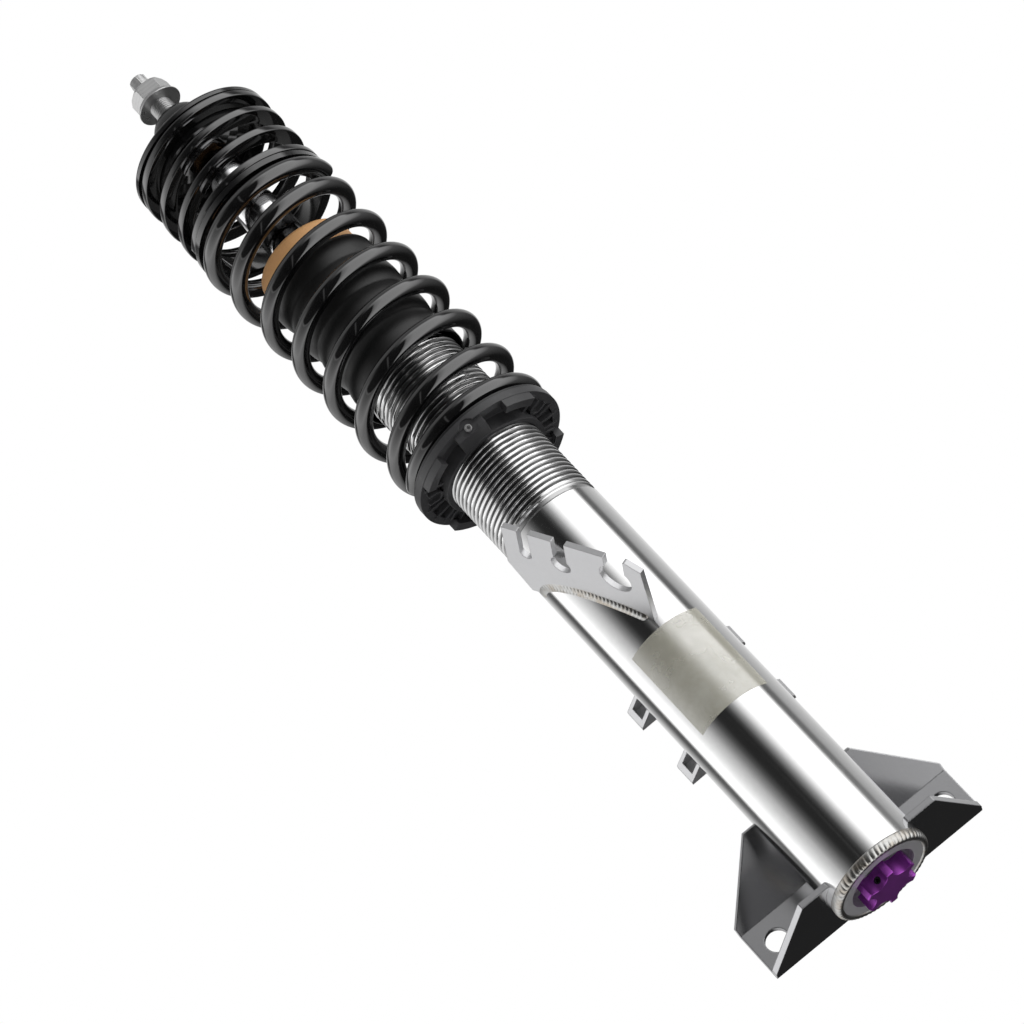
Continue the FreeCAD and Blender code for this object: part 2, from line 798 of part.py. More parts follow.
def top_hat():
    """The domed spacer on which the car's own mount sits."""
    bore = stud_shank_radius + SNUG
    base = V(plate_hub_radius, 0, plate_hub_top)
    rise = hat_top - plate_hub_top
    shoulder = V((plate_hub_radius + hat_top_radius) / 2 + hat_flare, 0, plate_hub_top + rise * 0.62)
    crown = V(hat_top_radius, 0, hat_top)
    edges = [Part.makeLine(V(bore, 0, plate_hub_top), base), Part.Arc(base, shoulder, crown).toShape(),
             Part.makeLine(crown, V(bore, 0, hat_top)),
             Part.makeLine(V(bore, 0, hat_top), V(bore, 0, plate_hub_top))]
    return Part.Face(Part.Wire(edges)).revolve(ON_AXIS, UP, 360)


def top_nut():
    """The flanged nut on the stud."""
    bar = hexagon(nut_flats, nut_foot + nut_flange_height - 0.5, nut_height - nut_flange_height + 0.5)
    corner = nut_flats / math.sqrt(3)
    crown = Part.makeCone(corner + 8, corner - nut_chamfer, 16, V(0, 0, nut_foot + nut_height - 16))
    skirt = Part.makeCone(nut_flange_radius + 6, nut_flange_radius - 1.5, 12, V(0, 0, nut_foot - 9.0))
    flange = ring(0, nut_flange_radius, nut_foot, nut_foot + nut_flange_height + 1).common(skirt)
    return fused([bar.common(crown), flange]).cut(
        ring(0, stud_thread_radius + RUNNING, nut_foot - 1, nut_foot + nut_height + 1))


def bump_stop():
    """The foam stop on the rod, with a neck for the boot."""
    bore = rod_radius + SNUG
    neck_top = bump_foot + bump_neck_height
    body = revolved([(bore, bump_foot), (bump_neck_radius, bump_foot), (bump_neck_radius, neck_top),
                     (bump_radius, neck_top), (bump_radius, bump_top), (bore, bump_top)])
    body = filleted(body, bump_round, circle_edge_at(bump_top, bump_radius))
    return filleted(body, bump_round / 2, circle_edge_at(neck_top, bump_radius))


def boot_profile(height):
    """Outer radius of the boot at a height, from its folds."""
    top = boot_top - boot_lid
    span = top - boot_foot - boot_cuff
    share = (height - boot_foot - boot_cuff) / span
    if share <= 0:
        return boot_crest
    wave = 0.5 + 0.5 * math.cos(2 * math.pi * boot_folds * share)
    return boot_valley + (boot_crest - boot_valley) * math.sqrt(wave)


def dust_boot():
    """The bellows that hangs from the bump stop, as a turned thin wall."""
    neck = bump_neck_radius + SNUG
    steps = boot_folds * 12
    top = boot_top - boot_lid
    lower = boot_foot + boot_cuff
    heights = [boot_foot, lower] + [lower + (top - lower) * k / steps for k in range(1, steps + 1)]
    outer = [(boot_profile(z), z) for z in heights]
    inner = [(radius - boot_wall, z) for radius, z in reversed(outer)]
    inner[0] = (inner[0][0], top - 0.01)
    lid = [(boot_crest - 3, boot_top - SNUG), (neck, boot_top - SNUG), (neck, top - 0.01)]
    return revolved(outer + lid + inner)


def end_slope_height(turn, end_turns, end_pitch, ramp_turns, pitch):
    """Rise of a coil at a count of turns from its end: slow, then a ramp, then the full pitch."""
    if turn <= end_turns:
        return end_pitch * turn
    rise = end_pitch * end_turns
    if turn <= end_turns + ramp_turns:
        part = turn - end_turns
        return rise + end_pitch * part + (pitch - end_pitch) * part * part / (2 * ramp_turns)
    rise += (end_pitch + pitch) / 2 * ramp_turns
    return rise + pitch * (turn - end_turns - ramp_turns)


class Coil:
    """A right-handed coil with flattened ends, described by its turns and its two end heights."""

    def __init__(self, radius, turns, foot, top, ends, start_angle):
        self.radius = radius
        self.turns = turns
        self.foot = foot
        self.top = top
        self.end_turns, self.end_pitch, self.ramp_turns = ends
        self.start_angle = math.radians(start_angle)
        ends_rise = self.end_pitch * (2 * self.end_turns + self.ramp_turns)
        full_turns = turns - 2 * self.end_turns - self.ramp_turns
        self.pitch = (top - foot - ends_rise) / full_turns

    def height(self, turn):
        """Height of the wire's centre after a number of turns."""
        values = (self.end_turns, self.end_pitch, self.ramp_turns, self.pitch)
        if turn <= self.turns / 2:
            return self.foot + end_slope_height(turn, *values)
        return self.top - end_slope_height(self.turns - turn, *values)

    def point(self, turn):
        """Centre of the wire after a number of turns."""
        angle = self.start_angle + 2 * math.pi * turn
        return V(self.radius * math.cos(angle), self.radius * math.sin(angle), self.height(turn))

    def tangent(self, turn):
        """Direction of the wire after a number of turns."""
        step = 1e-4
        low, high = max(0, turn - step), min(self.turns, turn + step)
        angle = self.start_angle + 2 * math.pi * turn
        climb = (self.height(high) - self.height(low)) / (high - low)
        around = 2 * math.pi * self.radius
        return V(-around * math.sin(angle), around * math.cos(angle), climb).normalize()

    def path(self):
        """The wire's centre line as biarcs of about a quarter turn."""
        pieces = math.ceil(self.turns * 4)
        stops = [self.turns * k / pieces for k in range(pieces + 1)]
        edges = []
        for low, high in zip(stops, stops[1:]):
            edges += biarc(self.point(low), self.tangent(low), self.point(high), self.tangent(high))
        return Part.Wire(edges)

    def least_gap(self, half_height, half_width):
        """Least gap between neighbouring turns of a wire, measured on points."""
        count = int((self.turns - 1) * SAMPLES_PER_TURN)
        if half_width == half_height:
            points = [self.point(k / SAMPLES_PER_TURN) for k in range(int(self.turns * SAMPLES_PER_TURN))]
            near = [(points[a] - points[b]).Length for a in range(len(points))
                    for b in range(a + SAMPLES_PER_TURN * 3 // 4, min(len(points), a + SAMPLES_PER_TURN * 5 // 4))]
            return min(near) - 2 * half_height
        rises = [self.height(k / SAMPLES_PER_TURN + 1) - self.height(k / SAMPLES_PER_TURN)
                 for k in range(count)]
        return min(rises) - 2 * half_height


def biarc(start, start_dir, end, end_dir):
    """Two arcs that join two points with given directions."""
    across = end - start
    both = start_dir + end_dir
    spread = 2 * (1 - start_dir.dot(end_dir))
    reach = across.dot(both)
    size = (math.sqrt(reach * reach + spread * across.dot(across)) - reach) / spread
    middle = (start + end + (start_dir - end_dir) * size) * 0.5
    return [arc_from(start, start_dir, middle), arc_from(end, end_dir * -1, middle)]


def arc_from(start, direction, end):
    """An arc that leaves a point in a direction and ends at another point."""
    chord = end - start
    aside = chord - direction * chord.dot(direction)
    side = V(aside).normalize()
    radius = chord.dot(chord) / (2 * side.dot(chord))
    centre = start + side * radius
    crown = centre + ((start + end) * 0.5 - centre).normalize() * radius
    return Part.Arc(start, crown, end).toShape()


def main_coil():
    """The main spring's centre line."""
    ends = (coil_end_turns, coil_end_pitch, coil_ramp_turns)
    return Coil(coil_radius, coil_turns, coil_foot + wire_radius, coil_top - wire_radius, ends,
                coil_start_angle)


def helper_coil():
    """The helper spring's centre line."""
    ends = (helper_end_turns, helper_end_pitch, helper_ramp_turns)
    foot = coil_top + spacer_height + flat_thickness / 2
    return Coil(helper_radius, helper_turns, foot, plate_foot - flat_thickness / 2, ends,
                helper_start_angle)


def main_spring():
    """The main spring: one round wire, wound right-handed, with closed ends."""
    coil = main_coil()
    path = coil.path()
    section = Part.Wire(Part.Circle(coil.point(0), coil.tangent(0), wire_radius).toShape())
    spring = path.makePipeShell([section], True, False)
    gap = coil.least_gap(wire_radius, wire_radius)
    expected = math.pi * wire_radius ** 2 * path.Length
    print(f"main spring: pitch {coil.pitch:.2f}, least gap {gap:.2f}, "
          f"volume {spring.Volume / expected:.4f} of section times length")
    assert gap > LEAST_GAP
    return spring


def helper_spring():
    """The helper spring: one flat wire, wound right-handed, with closed ends."""
    coil = helper_coil()
    path = coil.path()
    start = coil.point(0)
    out = V(start.x, start.y, 0).normalize()
    flat = V(0, 0, 1)
    half_w, half_t = flat_width / 2, flat_thickness / 2
    corners = [start + out * a + flat * b for a, b in
               ((-half_w, -half_t), (half_w, -half_t), (half_w, half_t), (-half_w, half_t))]
    section = Part.makePolygon(corners + corners[:1])
    shell = Part.BRepOffsetAPI.MakePipeShell(path)
    shell.setBiNormalMode(UP)
    shell.add(section)
    shell.build()
    shell.makeSolid()
    spring = shell.shape()
    gap = coil.least_gap(half_t, half_w)
    expected = flat_width * flat_thickness * 2 * math.pi * helper_radius * helper_turns
    print(f"helper spring: pitch {coil.pitch:.2f}, least gap {gap:.2f}, "
          f"volume {spring.Volume / expected:.4f} of section times length round the coil")
    assert gap > LEAST_GAP
    return spring


def spring_spacer():
    """The ring between the springs, with a lip into each."""
    foot, top = coil_top, coil_top + spacer_height
    return revolved([(spacer_bore, foot - spacer_lip_depth), (spacer_lip_radius, foot - spacer_lip_depth),
                     (spacer_lip_radius, foot), (spacer_rim_radius, foot), (spacer_rim_radius, top),
                     (spacer_upper_lip_radius, top), (spacer_upper_lip_radius, top + spacer_lip_depth),
                     (spacer_bore, top + spacer_lip_depth)])


def seat_ring():
    """The thin ring on which the main spring stands."""
    bore = tube_radius + LOOSE
    lip_inner = seat_lip_radius - seat_lip_wall
    return revolved([(bore, collar_top), (seat_radius, collar_top), (seat_radius, coil_foot),
                     (seat_lip_radius, coil_foot), (seat_lip_radius, coil_foot + seat_lip_height - 1),
                     (seat_lip_radius - 1, coil_foot + seat_lip_height),
                     (lip_inner, coil_foot + seat_lip_height), (lip_inner, coil_foot), (bore, coil_foot)])


def sector(inner, outer, foot, top, angle):
    """A slice of a ring, centred on +X."""
    whole = Part.makeCylinder(outer, top - foot, V(0, 0, foot), UP, angle)
    whole = whole.cut(Part.makeCylinder(inner, top - foot, V(0, 0, foot)))
    return turned(whole, -angle / 2)


def finger(radius, foot, top, reach):
    """A bar that stands on the collar's deck: round towards the hub and straight out to a radius."""
    round_end = Part.makeCylinder(radius, top - foot, V(boss_circle, 0, foot))
    straight = Part.makeBox(reach - boss_circle, 2 * radius, top - foot, V(boss_circle, -radius, foot))
    return round_end.fuse(straight)


def adjuster_collar():
    """The threaded collar: a hub, a rim, ribs, spanner lugs, dished bosses and the screw's block."""
    bore = tube_radius + RUNNING
    hub = ring(bore, bore + collar_hub_wall, collar_top - collar_hub_depth, collar_top)
    deck = ring(bore, collar_radius, collar_top - collar_plate, collar_top)
    rim = ring(collar_radius - collar_rim_wall, collar_radius, collar_top - collar_rim_height, collar_top)
    inside = bore + collar_hub_wall / 2
    outside = collar_radius - collar_rim_wall / 2
    deck_middle = collar_top - collar_plate / 2
    lug = sector(lug_inner, lug_outer, collar_top - lug_depth, deck_middle, lug_angle)
    rib = Part.makeBox(outside - inside, rib_width, rib_depth - collar_plate / 2,
                       V(inside, -rib_width / 2, collar_top - rib_depth))
    boss_foot = collar_top - boss_depth
    boss = finger(boss_radius, boss_foot, deck_middle, collar_radius - collar_rim_wall)
    dish = finger(boss_radius - boss_wall, boss_foot, boss_foot + boss_dish_depth,
                  collar_radius - collar_rim_wall)
    block = Part.makeBox(outside - inside, screw_block_width, screw_block_depth - collar_plate / 2,
                         V(inside, -screw_block_width / 2, collar_top - screw_block_depth))
    slope = Part.makeBox(collar_radius, 2 * screw_block_width, collar_radius,
                         V(0, -screw_block_width, -collar_radius))
    slope.rotate(ON_AXIS, V(0, 1, 0), -(90 - grub_tilt))
    slope.translate(grub_head())
    pieces = [hub, deck, rim, turned(block.cut(slope), grub_angle)]
    drills = [grub_blank(grub_radius, grub_length + 1), grub_sink(),
              ring(0, bore, collar_top - 2 * collar_hub_depth, collar_top + collar_plate)]
    for shape, places, kept in ((lug, lug_places, pieces), (rib, rib_places, pieces),
                                (boss, boss_places, pieces), (dish, boss_places, drills)):
        for place in places:
            kept += [turned(shape, grub_angle + side * place) for side in (-1, 1)]
    return fused(pieces).cut(Part.makeCompound(drills))


def grub_head():
    """Middle of the sloping face through which the grub screw goes in."""
    return V(collar_radius - grub_setback, 0, collar_top - grub_drop)


def grub_blank(radius, length):
    """A bar along the grub screw's axis, from just outside its sloping face inwards and up."""
    tilt = math.radians(grub_tilt)
    inward = V(-math.cos(tilt), 0, math.sin(tilt))
    bar = Part.makeCylinder(radius, length, grub_head() - inward * grub_proud, inward)
    return turned(bar, grub_angle)


def grub_sink():
    """The round clearance cut into the rim in front of the grub screw."""
    tilt = math.radians(grub_tilt)
    outward = V(math.cos(tilt), 0, -math.sin(tilt))
    return turned(Part.makeCylinder(grub_sink_radius, collar_rim_wall, grub_head(), outward), grub_angle)


def grub_screw():
    """The screw that locks the collar."""
    bar = grub_blank(grub_radius - SNUG, grub_length)
    return bar.cut(grub_blank(grub_socket_flats / 2, grub_socket_depth))


def build_nodes():
    """Every piece, by the name of its node."""
    return {
        "strut_tube": strut_tube(),
        "bottom_cap": bottom_cap(),
        "cap_weld": cap_weld(),
        "knuckle_bracket": knuckle_bracket(),
        "bracket_welds": bracket_welds(),
        "line_bracket": line_bracket(),
        "line_bracket_weld": line_bracket_weld(),
        "guide_clips": guide_clips(),
        "tube_film": tube_film(),
        "inner_cylinder": inner_cylinder(),
        "foot_valve": foot_valve(),
        "foot_valve_discs": foot_valve_discs(),
        "rod_guide": rod_guide(),
        "guide_bush": guide_bush(),
        "oil_seal": oil_seal(),
        "rod_wiper": rod_wiper(),
        "gland_nut": gland_nut(),
        "gland_oring": gland_oring(),
        "compression_knob": compression_knob(),
        "knob_clamp_screw": knob_clamp_screw(),
        "compression_needle": compression_needle(),
        "piston_rod": piston_rod(),
        "rebound_spindle": rebound_spindle(),
        "piston": piston(),
        "piston_band": piston_band(),
        "rebound_discs": rebound_discs(),
        "piston_nut": piston_nut(),
        "stop_ring": stop_ring(),
        "topout_bumper": topout_bumper(),
        "top_plate": top_plate(),
        "top_hat": top_hat(),
        "top_nut": top_nut(),
        "bump_stop": bump_stop(),
        "dust_boot": dust_boot(),
        "main_spring": main_spring(),
        "helper_spring": helper_spring(),
        "spring_spacer": spring_spacer(),
        "seat_ring": seat_ring(),
        "adjuster_collar": adjuster_collar(),
        "grub_screw": grub_screw(),
    }


os.makedirs("parts", exist_ok=True)
for name, shape in build_nodes().items():
    if not shape.isValid():
        print(f"{name}: not valid")
    seat_in_frame(shape).exportStep(os.path.join("parts", f"{name}.step"))
    print(f"{name}: {len(shape.Solids)} solid(s), {shape.Volume / 1000:.2f} cm3")
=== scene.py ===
"""Looks of a front strut with an adjustable spring seat.

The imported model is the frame. This script gives each piece its finish, and models again the pieces
that change length or need a finer shape: the springs, the boot, the thread and the weld beads.
Lengths are in metres, in the frame's own axes: +Z up the strut, +Y towards the knuckle.
"""
from __future__ import annotations

import logging
import math
from dataclasses import dataclass, field
from enum import Enum
from typing import Sequence

import bmesh
import bpy
from mathutils import Matrix, Vector

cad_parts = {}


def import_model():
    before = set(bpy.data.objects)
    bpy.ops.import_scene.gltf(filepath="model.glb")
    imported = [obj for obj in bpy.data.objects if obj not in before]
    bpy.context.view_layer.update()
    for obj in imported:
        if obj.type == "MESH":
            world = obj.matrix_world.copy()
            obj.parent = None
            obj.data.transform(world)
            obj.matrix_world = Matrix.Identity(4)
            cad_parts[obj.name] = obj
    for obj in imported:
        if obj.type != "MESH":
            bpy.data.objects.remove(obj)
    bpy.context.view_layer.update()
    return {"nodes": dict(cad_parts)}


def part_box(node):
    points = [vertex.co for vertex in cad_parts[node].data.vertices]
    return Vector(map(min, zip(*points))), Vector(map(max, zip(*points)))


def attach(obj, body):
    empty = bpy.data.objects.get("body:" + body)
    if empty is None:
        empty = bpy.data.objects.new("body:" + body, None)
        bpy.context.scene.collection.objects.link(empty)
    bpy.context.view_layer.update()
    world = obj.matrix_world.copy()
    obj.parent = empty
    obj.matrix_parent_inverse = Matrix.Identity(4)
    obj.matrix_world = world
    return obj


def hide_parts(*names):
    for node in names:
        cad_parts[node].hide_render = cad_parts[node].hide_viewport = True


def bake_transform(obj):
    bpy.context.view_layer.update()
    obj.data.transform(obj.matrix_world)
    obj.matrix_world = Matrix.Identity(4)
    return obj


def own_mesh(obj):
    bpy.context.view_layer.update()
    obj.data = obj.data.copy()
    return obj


LOG = logging.getLogger("strut")
MM = 0.001
BEVEL_SAMPLES = 6
Colour = tuple[float, float, float]
Pair = tuple[float, float]
Pairs = tuple[Pair, ...]


# Shader maths


class Shade:
    """A socket that does arithmetic: each operator adds the node that works it out."""

    def __init__(self, sheet: "Sheet", socket: bpy.types.NodeSocket) -> None:
        """Wrap an output socket of a sheet."""
        self.sheet = sheet
        self.socket = socket

    def _maths(self, operation: str, *values: "Shade | float") -> "Shade":
        """Add a Math node on this value and others."""
        return self.sheet.node("ShaderNodeMath", {"operation": operation},
                               dict(enumerate((self, *values))))

    def __add__(self, other: "Shade | float") -> "Shade":
        """Sum."""
        return self._maths("ADD", other)

    __radd__ = __add__

    def __sub__(self, other: "Shade | float") -> "Shade":
        """Difference."""
        return self._maths("SUBTRACT", other)

    def __rsub__(self, other: float) -> "Shade":
        """Difference from a number."""
        return (self * -1.0) + other

    def __mul__(self, other: "Shade | float") -> "Shade":
        """Product."""
        return self._maths("MULTIPLY", other)

    __rmul__ = __mul__

    def __truediv__(self, other: "Shade | float") -> "Shade":
        """Quotient."""
        return self._maths("DIVIDE", other)

    def __pow__(self, power: float) -> "Shade":
        """Power."""
        return self._maths("POWER", power)

    def sine(self) -> "Shade":
        """Sine of an angle in radians."""
        return self._maths("SINE")

    def at_least(self, other: "Shade | float") -> "Shade":
        """Larger of two values."""
        return self._maths("MAXIMUM", other)

    def at_most(self, other: "Shade | float") -> "Shade":
        """Smaller of two values."""
        return self._maths("MINIMUM", other)

    def angle_from(self, other: "Shade") -> "Shade":
        """Angle whose tangent is this value over another."""
        return self._maths("ARCTAN2", other)

    def rise(self, low: float, high: float) -> "Shade":
        """Smooth step from nought at low to one at high."""
        settings = {"interpolation_type": "SMOOTHSTEP", "clamp": True}
        return self.sheet.node("ShaderNodeMapRange", settings,
                               {"Value": self, "From Min": low, "From Max": high})

    def ramp(self, stops: Sequence[Pair]) -> "Shade":
        """Grey ramp through (place, level) stops."""
        return self.sheet.node("ShaderNodeValToRGB", {"stops": stops}, {"Fac": self})

    def between(self, low: "Shade | Colour", high: "Shade | Colour") -> "Shade":
        """Colour mixed from low to high by this value."""
        first, last = (end if isinstance(end, Shade) else (*end, 1.0) for end in (low, high))
        return self.sheet.node("ShaderNodeMix", {"data_type": "RGBA"}, {0: self, 6: first, 7: last},
                               "Result")


class Sheet:
    """The nodes of one material or of the world."""

    def __init__(self, tree: bpy.types.NodeTree) -> None:
        """Start from an empty tree."""
        self.tree = tree
        tree.nodes.clear()

    def node(self, kind: str, settings: dict | None = None, inputs: dict | None = None,
             output: str | int = 0) -> Shade:
        """Add one node.

        Args:
            kind: Blender's name of the node's type.
            settings: properties, set first; stops are a ramp's (place, level) pairs.
            inputs: values or links by the socket's name or number.
            output: the output socket to hand back.

        Returns:
            The chosen output.
        """
        made = self.tree.nodes.new(kind)
        for name, value in (settings or {}).items():
            if name == "stops":
                self._set_stops(made.color_ramp, value)
            else:
                setattr(made, name, value)
        for key, value in (inputs or {}).items():
            self._feed(made.inputs[key], value)
        if isinstance(output, str):
            return Shade(self, next(s for s in made.outputs if s.enabled and s.name == output))
        return Shade(self, made.outputs[output] if made.outputs else None)

    @staticmethod
    def _set_stops(ramp: bpy.types.ColorRamp, stops: Sequence[Pair]) -> None:
        """Put a ramp's stops in place."""
        ramp.interpolation = "LINEAR"
        while len(ramp.elements) > 1:
            ramp.elements.remove(ramp.elements[-1])
        ramp.elements[0].position = stops[0][0]
        ramp.elements[0].color = (stops[0][1],) * 3 + (1.0,)
        for place, level in stops[1:]:
            ramp.elements.new(place).color = (level,) * 3 + (1.0,)

    def _feed(self, socket: bpy.types.NodeSocket, value: object) -> None:
        """Link or set one input."""
        if isinstance(value, Shade):
            self.tree.links.new(value.socket, socket)
        else:
            socket.default_value = value

    def place(self) -> Shade:
        """Position on the piece, in metres."""
        return self.node("ShaderNodeTexCoord", output="Object")

    def parts(self, vector: Shade) -> tuple[Shade, Shade, Shade]:
        """X, Y and Z of a vector."""
        split = self.node("ShaderNodeSeparateXYZ", {}, {0: vector})
        outputs = split.socket.node.outputs
        return tuple(Shade(self, socket) for socket in outputs)

    def vector(self, x: Shade | float, y: Shade | float, z: Shade | float) -> Shade:
        """Vector from three values."""
        return self.node("ShaderNodeCombineXYZ", {}, {0: x, 1: y, 2: z})

    def noise(self, vector: Shade, scale: float, detail: float = 3.0, roughness: float = 0.6) -> Shade:
        """Soft noise between nought and one."""
        return self.node("ShaderNodeTexNoise", {"noise_dimensions": "3D"},
                         {"Vector": vector, "Scale": scale, "Detail": detail, "Roughness": roughness})

    def cells(self, vector: Shade, scale: float) -> Shade:
        """Distance to the nearest of scattered points."""
        return self.node("ShaderNodeTexVoronoi", {"feature": "F1"}, {"Vector": vector, "Scale": scale})

    def bump(self, height: Shade, depth: float, strength: float, normal: Shade | None = None) -> Shade:
        """Normal bent by a height whose full depth is in millimetres."""
        inputs = {"Height": height, "Distance": depth * MM, "Strength": strength}
        if normal is not None:
            inputs["Normal"] = normal
        return self.node("ShaderNodeBump", {}, inputs)


class Body(str, Enum):
    """Bodies of the frame that carry pieces made here."""

    HOUSING = "housing"
    ROD = "rod"
    SEAT = "spring_seat"
    SPACER = "spacer"


# Finishes


# Near black that the thread's roots are darkened towards: painted shade in the thread.
THREAD_ROOT_SHADE: Colour = (0.05, 0.05, 0.05)
HEAT_TINT: Colour = (0.40, 0.36, 0.31)
SOOT: Colour = (0.08, 0.07, 0.06)


@dataclass(frozen=True)
class Finish:
    """A finish of one kind of surface, in a maker's terms."""

    name: str
    colour: Colour
    roughness: float
    metallic: float = 0.0
    coat: float = 0.0
    coat_roughness: float = 0.05
    coat_ior: float = 1.5
    ior: float = 1.5
    edge: float = 0.4
    specular: float = 0.5

    def shader(self, sheet: Sheet) -> dict:
        """What varies over the surface, by the shader's socket.

        Args:
            sheet: the material's nodes.

        Returns:
            Values or links by the socket's name.
        """
        return {}

    def rounded(self, sheet: Sheet) -> Shade:
        """Normal that rounds the sharp edges of a pressed or moulded piece."""
        return sheet.node("ShaderNodeBevel", {"samples": BEVEL_SAMPLES}, {"Radius": self.edge * MM})

    def material(self) -> bpy.types.Material:
        """Build the material."""
        made = bpy.data.materials.new(self.name)
        made.use_nodes = True
        sheet = Sheet(made.node_tree)
        inputs = {"Base Color": (*self.colour, 1.0), "Roughness": self.roughness,
                  "Metallic": self.metallic, "Coat Weight": self.coat,
                  "Coat Roughness": self.coat_roughness, "Coat IOR": self.coat_ior, "IOR": self.ior,
                  "Specular IOR Level": self.specular}
        inputs.update(self.shader(sheet))
        surface = sheet.node("ShaderNodeBsdfPrincipled", {}, inputs)
        sheet.node("ShaderNodeOutputMaterial", {}, {"Surface": surface})
        return made

    def tinted(self, mask: Shade, dark: float, light: float) -> Shade:
        """This colour made darker or lighter by a mask."""
        return mask.between(tuple(c * dark for c in self.colour),
                            tuple(min(1.0, c * light) for c in self.colour))


@dataclass(frozen=True)
class Plated(Finish):
    """Zinc on steel: fine mottling, faint rub marks and a few darker stains."""

    mottle: float = 420.0
    rub: float = 0.10
    grain: float = 0.003
    vary: float = 0.10
    # Radius of the thread's floor, inside which shade is painted into the colour.
    thread_floor: float = 0.0

    def shader(self, sheet: Sheet) -> dict:
        """Mottling, rubs and grain, and painted shade in the floor of a thread."""
        place = sheet.place()
        x, y, z = sheet.parts(place)
        mottling = sheet.noise(place, scale=self.mottle, detail=4.0)
        cloud = sheet.noise(place, scale=38.0, roughness=0.55)
        lengthwise = sheet.vector(x * 900.0, y * 900.0, z * 60.0)
        rubs = sheet.noise(lengthwise, scale=1.0).rise(0.55, 0.8)
        stain = sheet.noise(place, scale=90.0, detail=5.0, roughness=0.7).rise(0.62, 0.8)
        tone = (mottling * 0.45 + cloud * 0.55 - stain * 0.3).at_least(0.0)
        colour = self.tinted(tone, 1.0 - self.vary, 1.0 + self.vary)
        roughness = (tone * 0.06 + rubs * self.rub * 0.3 + (self.roughness - 0.03)).at_least(0.04)
        # Painted shade: inside the thread's roots the colour is darkened towards near black and the
        # roughness is raised.
        if self.thread_floor:
            across = y - AXIS_Y * MM
            radius = (x * x + across * across) ** 0.5
            thread_root_shade = radius.rise(self.thread_floor * MM, (self.thread_floor - 1.0) * MM)
            colour = (thread_root_shade * 0.9).between(colour, THREAD_ROOT_SHADE)
            roughness = roughness + thread_root_shade * 0.2
        return {"Base Color": colour, "Roughness": roughness,
                "Normal": sheet.bump(mottling, self.grain, 0.6, self.rounded(sheet))}


@dataclass(frozen=True)
class Turned(Finish):
    """Metal from a lathe: fine rings round the strut and light handling marks."""

    rings: float = 5200.0
    groove: float = 0.006

    def shader(self, sheet: Sheet) -> dict:
        """Rings, marks and a slight change of tone."""
        place = sheet.place()
        _, _, z = sheet.parts(place)
        wander = sheet.noise(place, scale=160.0, roughness=0.5)
        cut = (z * self.rings + wander * 2.0).sine() * 0.5 + 0.5
        marks = sheet.noise(place, scale=700.0, detail=4.0, roughness=0.7).rise(0.6, 0.85)
        tone = cut * 0.3 + wander * 0.7 - marks * 0.2
        return {"Base Color": self.tinted(tone, 0.8, 1.12),
                "Roughness": (tone * 0.12 + marks * 0.1 + (self.roughness - 0.06)).at_least(0.03),
                "Normal": sheet.bump(cut, self.groove, 0.5, self.rounded(sheet))}


@dataclass(frozen=True)
class Paint(Finish):
    """Powder coat: a gloss skin with slight orange peel, dust and a few scuffs."""

    peel: float = 0.012

    def shader(self, sheet: Sheet) -> dict:
        """Peel, dust and scuffs."""
        place = sheet.place()
        skin = sheet.noise(place, scale=520.0, detail=2.0, roughness=0.5)
        patches = sheet.noise(place, scale=60.0).rise(0.55, 0.8)
        dust = sheet.cells(place, scale=1500.0).rise(0.10, 0.04) * patches
        scuff = sheet.noise(place, scale=130.0, detail=5.0, roughness=0.75).rise(0.66, 0.8)
        return {"Base Color": self.tinted(dust * 0.6 + scuff * 0.4, 1.0, 3.5),
                "Roughness": (scuff * 0.12 + skin * 0.06 + self.roughness).at_most(1.0),
                "Coat Weight": (dust * -0.4 - scuff * 0.15 + self.coat).at_least(0.0),
                "Normal": sheet.bump(skin, self.peel, 0.5, self.rounded(sheet))}


@dataclass(frozen=True)
class Moulded(Finish):
    """Filled plastic or rubber from a mould: fine grain, flow marks and rubbed high spots."""

    grain: float = 0.05
    scale: float = 1800.0
    light: float = 1.9

    def shader(self, sheet: Sheet) -> dict:
        """Grain, flow marks and rubs."""
        place = sheet.place()
        grain = sheet.noise(place, scale=self.scale)
        flow = sheet.noise(place, scale=55.0, detail=4.0)
        rub = sheet.noise(place, scale=240.0, detail=4.0, roughness=0.7).rise(0.56, 0.78)
        return {"Base Color": self.tinted(grain * 0.35 + flow * 0.35 + rub * 0.3, 0.75, self.light),
                "Roughness": (flow * 0.14 - rub * 0.12 + self.roughness).at_least(0.1),
                "Normal": sheet.bump(grain, self.grain, 0.6, self.rounded(sheet))}


@dataclass(frozen=True)
class Foam(Finish):
    """Closed-cell foam: a skin with small pores and faint mottling."""

    pore: float = 1400.0
    pore_depth: float = 0.12

    def shader(self, sheet: Sheet) -> dict:
        """Pores and mottling."""
        place = sheet.place()
        pores = sheet.cells(place, self.pore).rise(0.0, 0.45)
        cloud = sheet.noise(place, scale=70.0, detail=4.0)
        return {"Base Color": self.tinted(pores * 0.5 + cloud * 0.5, 0.72, 1.12),
                "Roughness": cloud * 0.15 + (self.roughness - 0.08),
                "Normal": sheet.bump(pores, self.pore_depth, 0.7)}


@dataclass(frozen=True)
class Anodised(Finish):
    """Dyed aluminium: a fine satin with tool marks under it."""

    rings: float = 4800.0
    grain: float = 0.012

    def shader(self, sheet: Sheet) -> dict:
        """Satin grain and faint rings."""
        place = sheet.place()
        _, _, z = sheet.parts(place)
        grain = sheet.noise(place, scale=2600.0)
        cloud = sheet.noise(place, scale=110.0)
        wear = sheet.noise(place, scale=320.0, detail=5.0, roughness=0.75).rise(0.66, 0.82)
        skin = grain + (z * self.rings).sine() * 0.3
        return {"Base Color": self.tinted(grain * 0.3 + cloud * 0.5 + wear * 0.4, 0.78, 1.3),
                "Roughness": (cloud * 0.12 + (self.roughness - 0.05)).at_least(0.05),
                "Normal": sheet.bump(skin, self.grain, 0.6, self.rounded(sheet))}


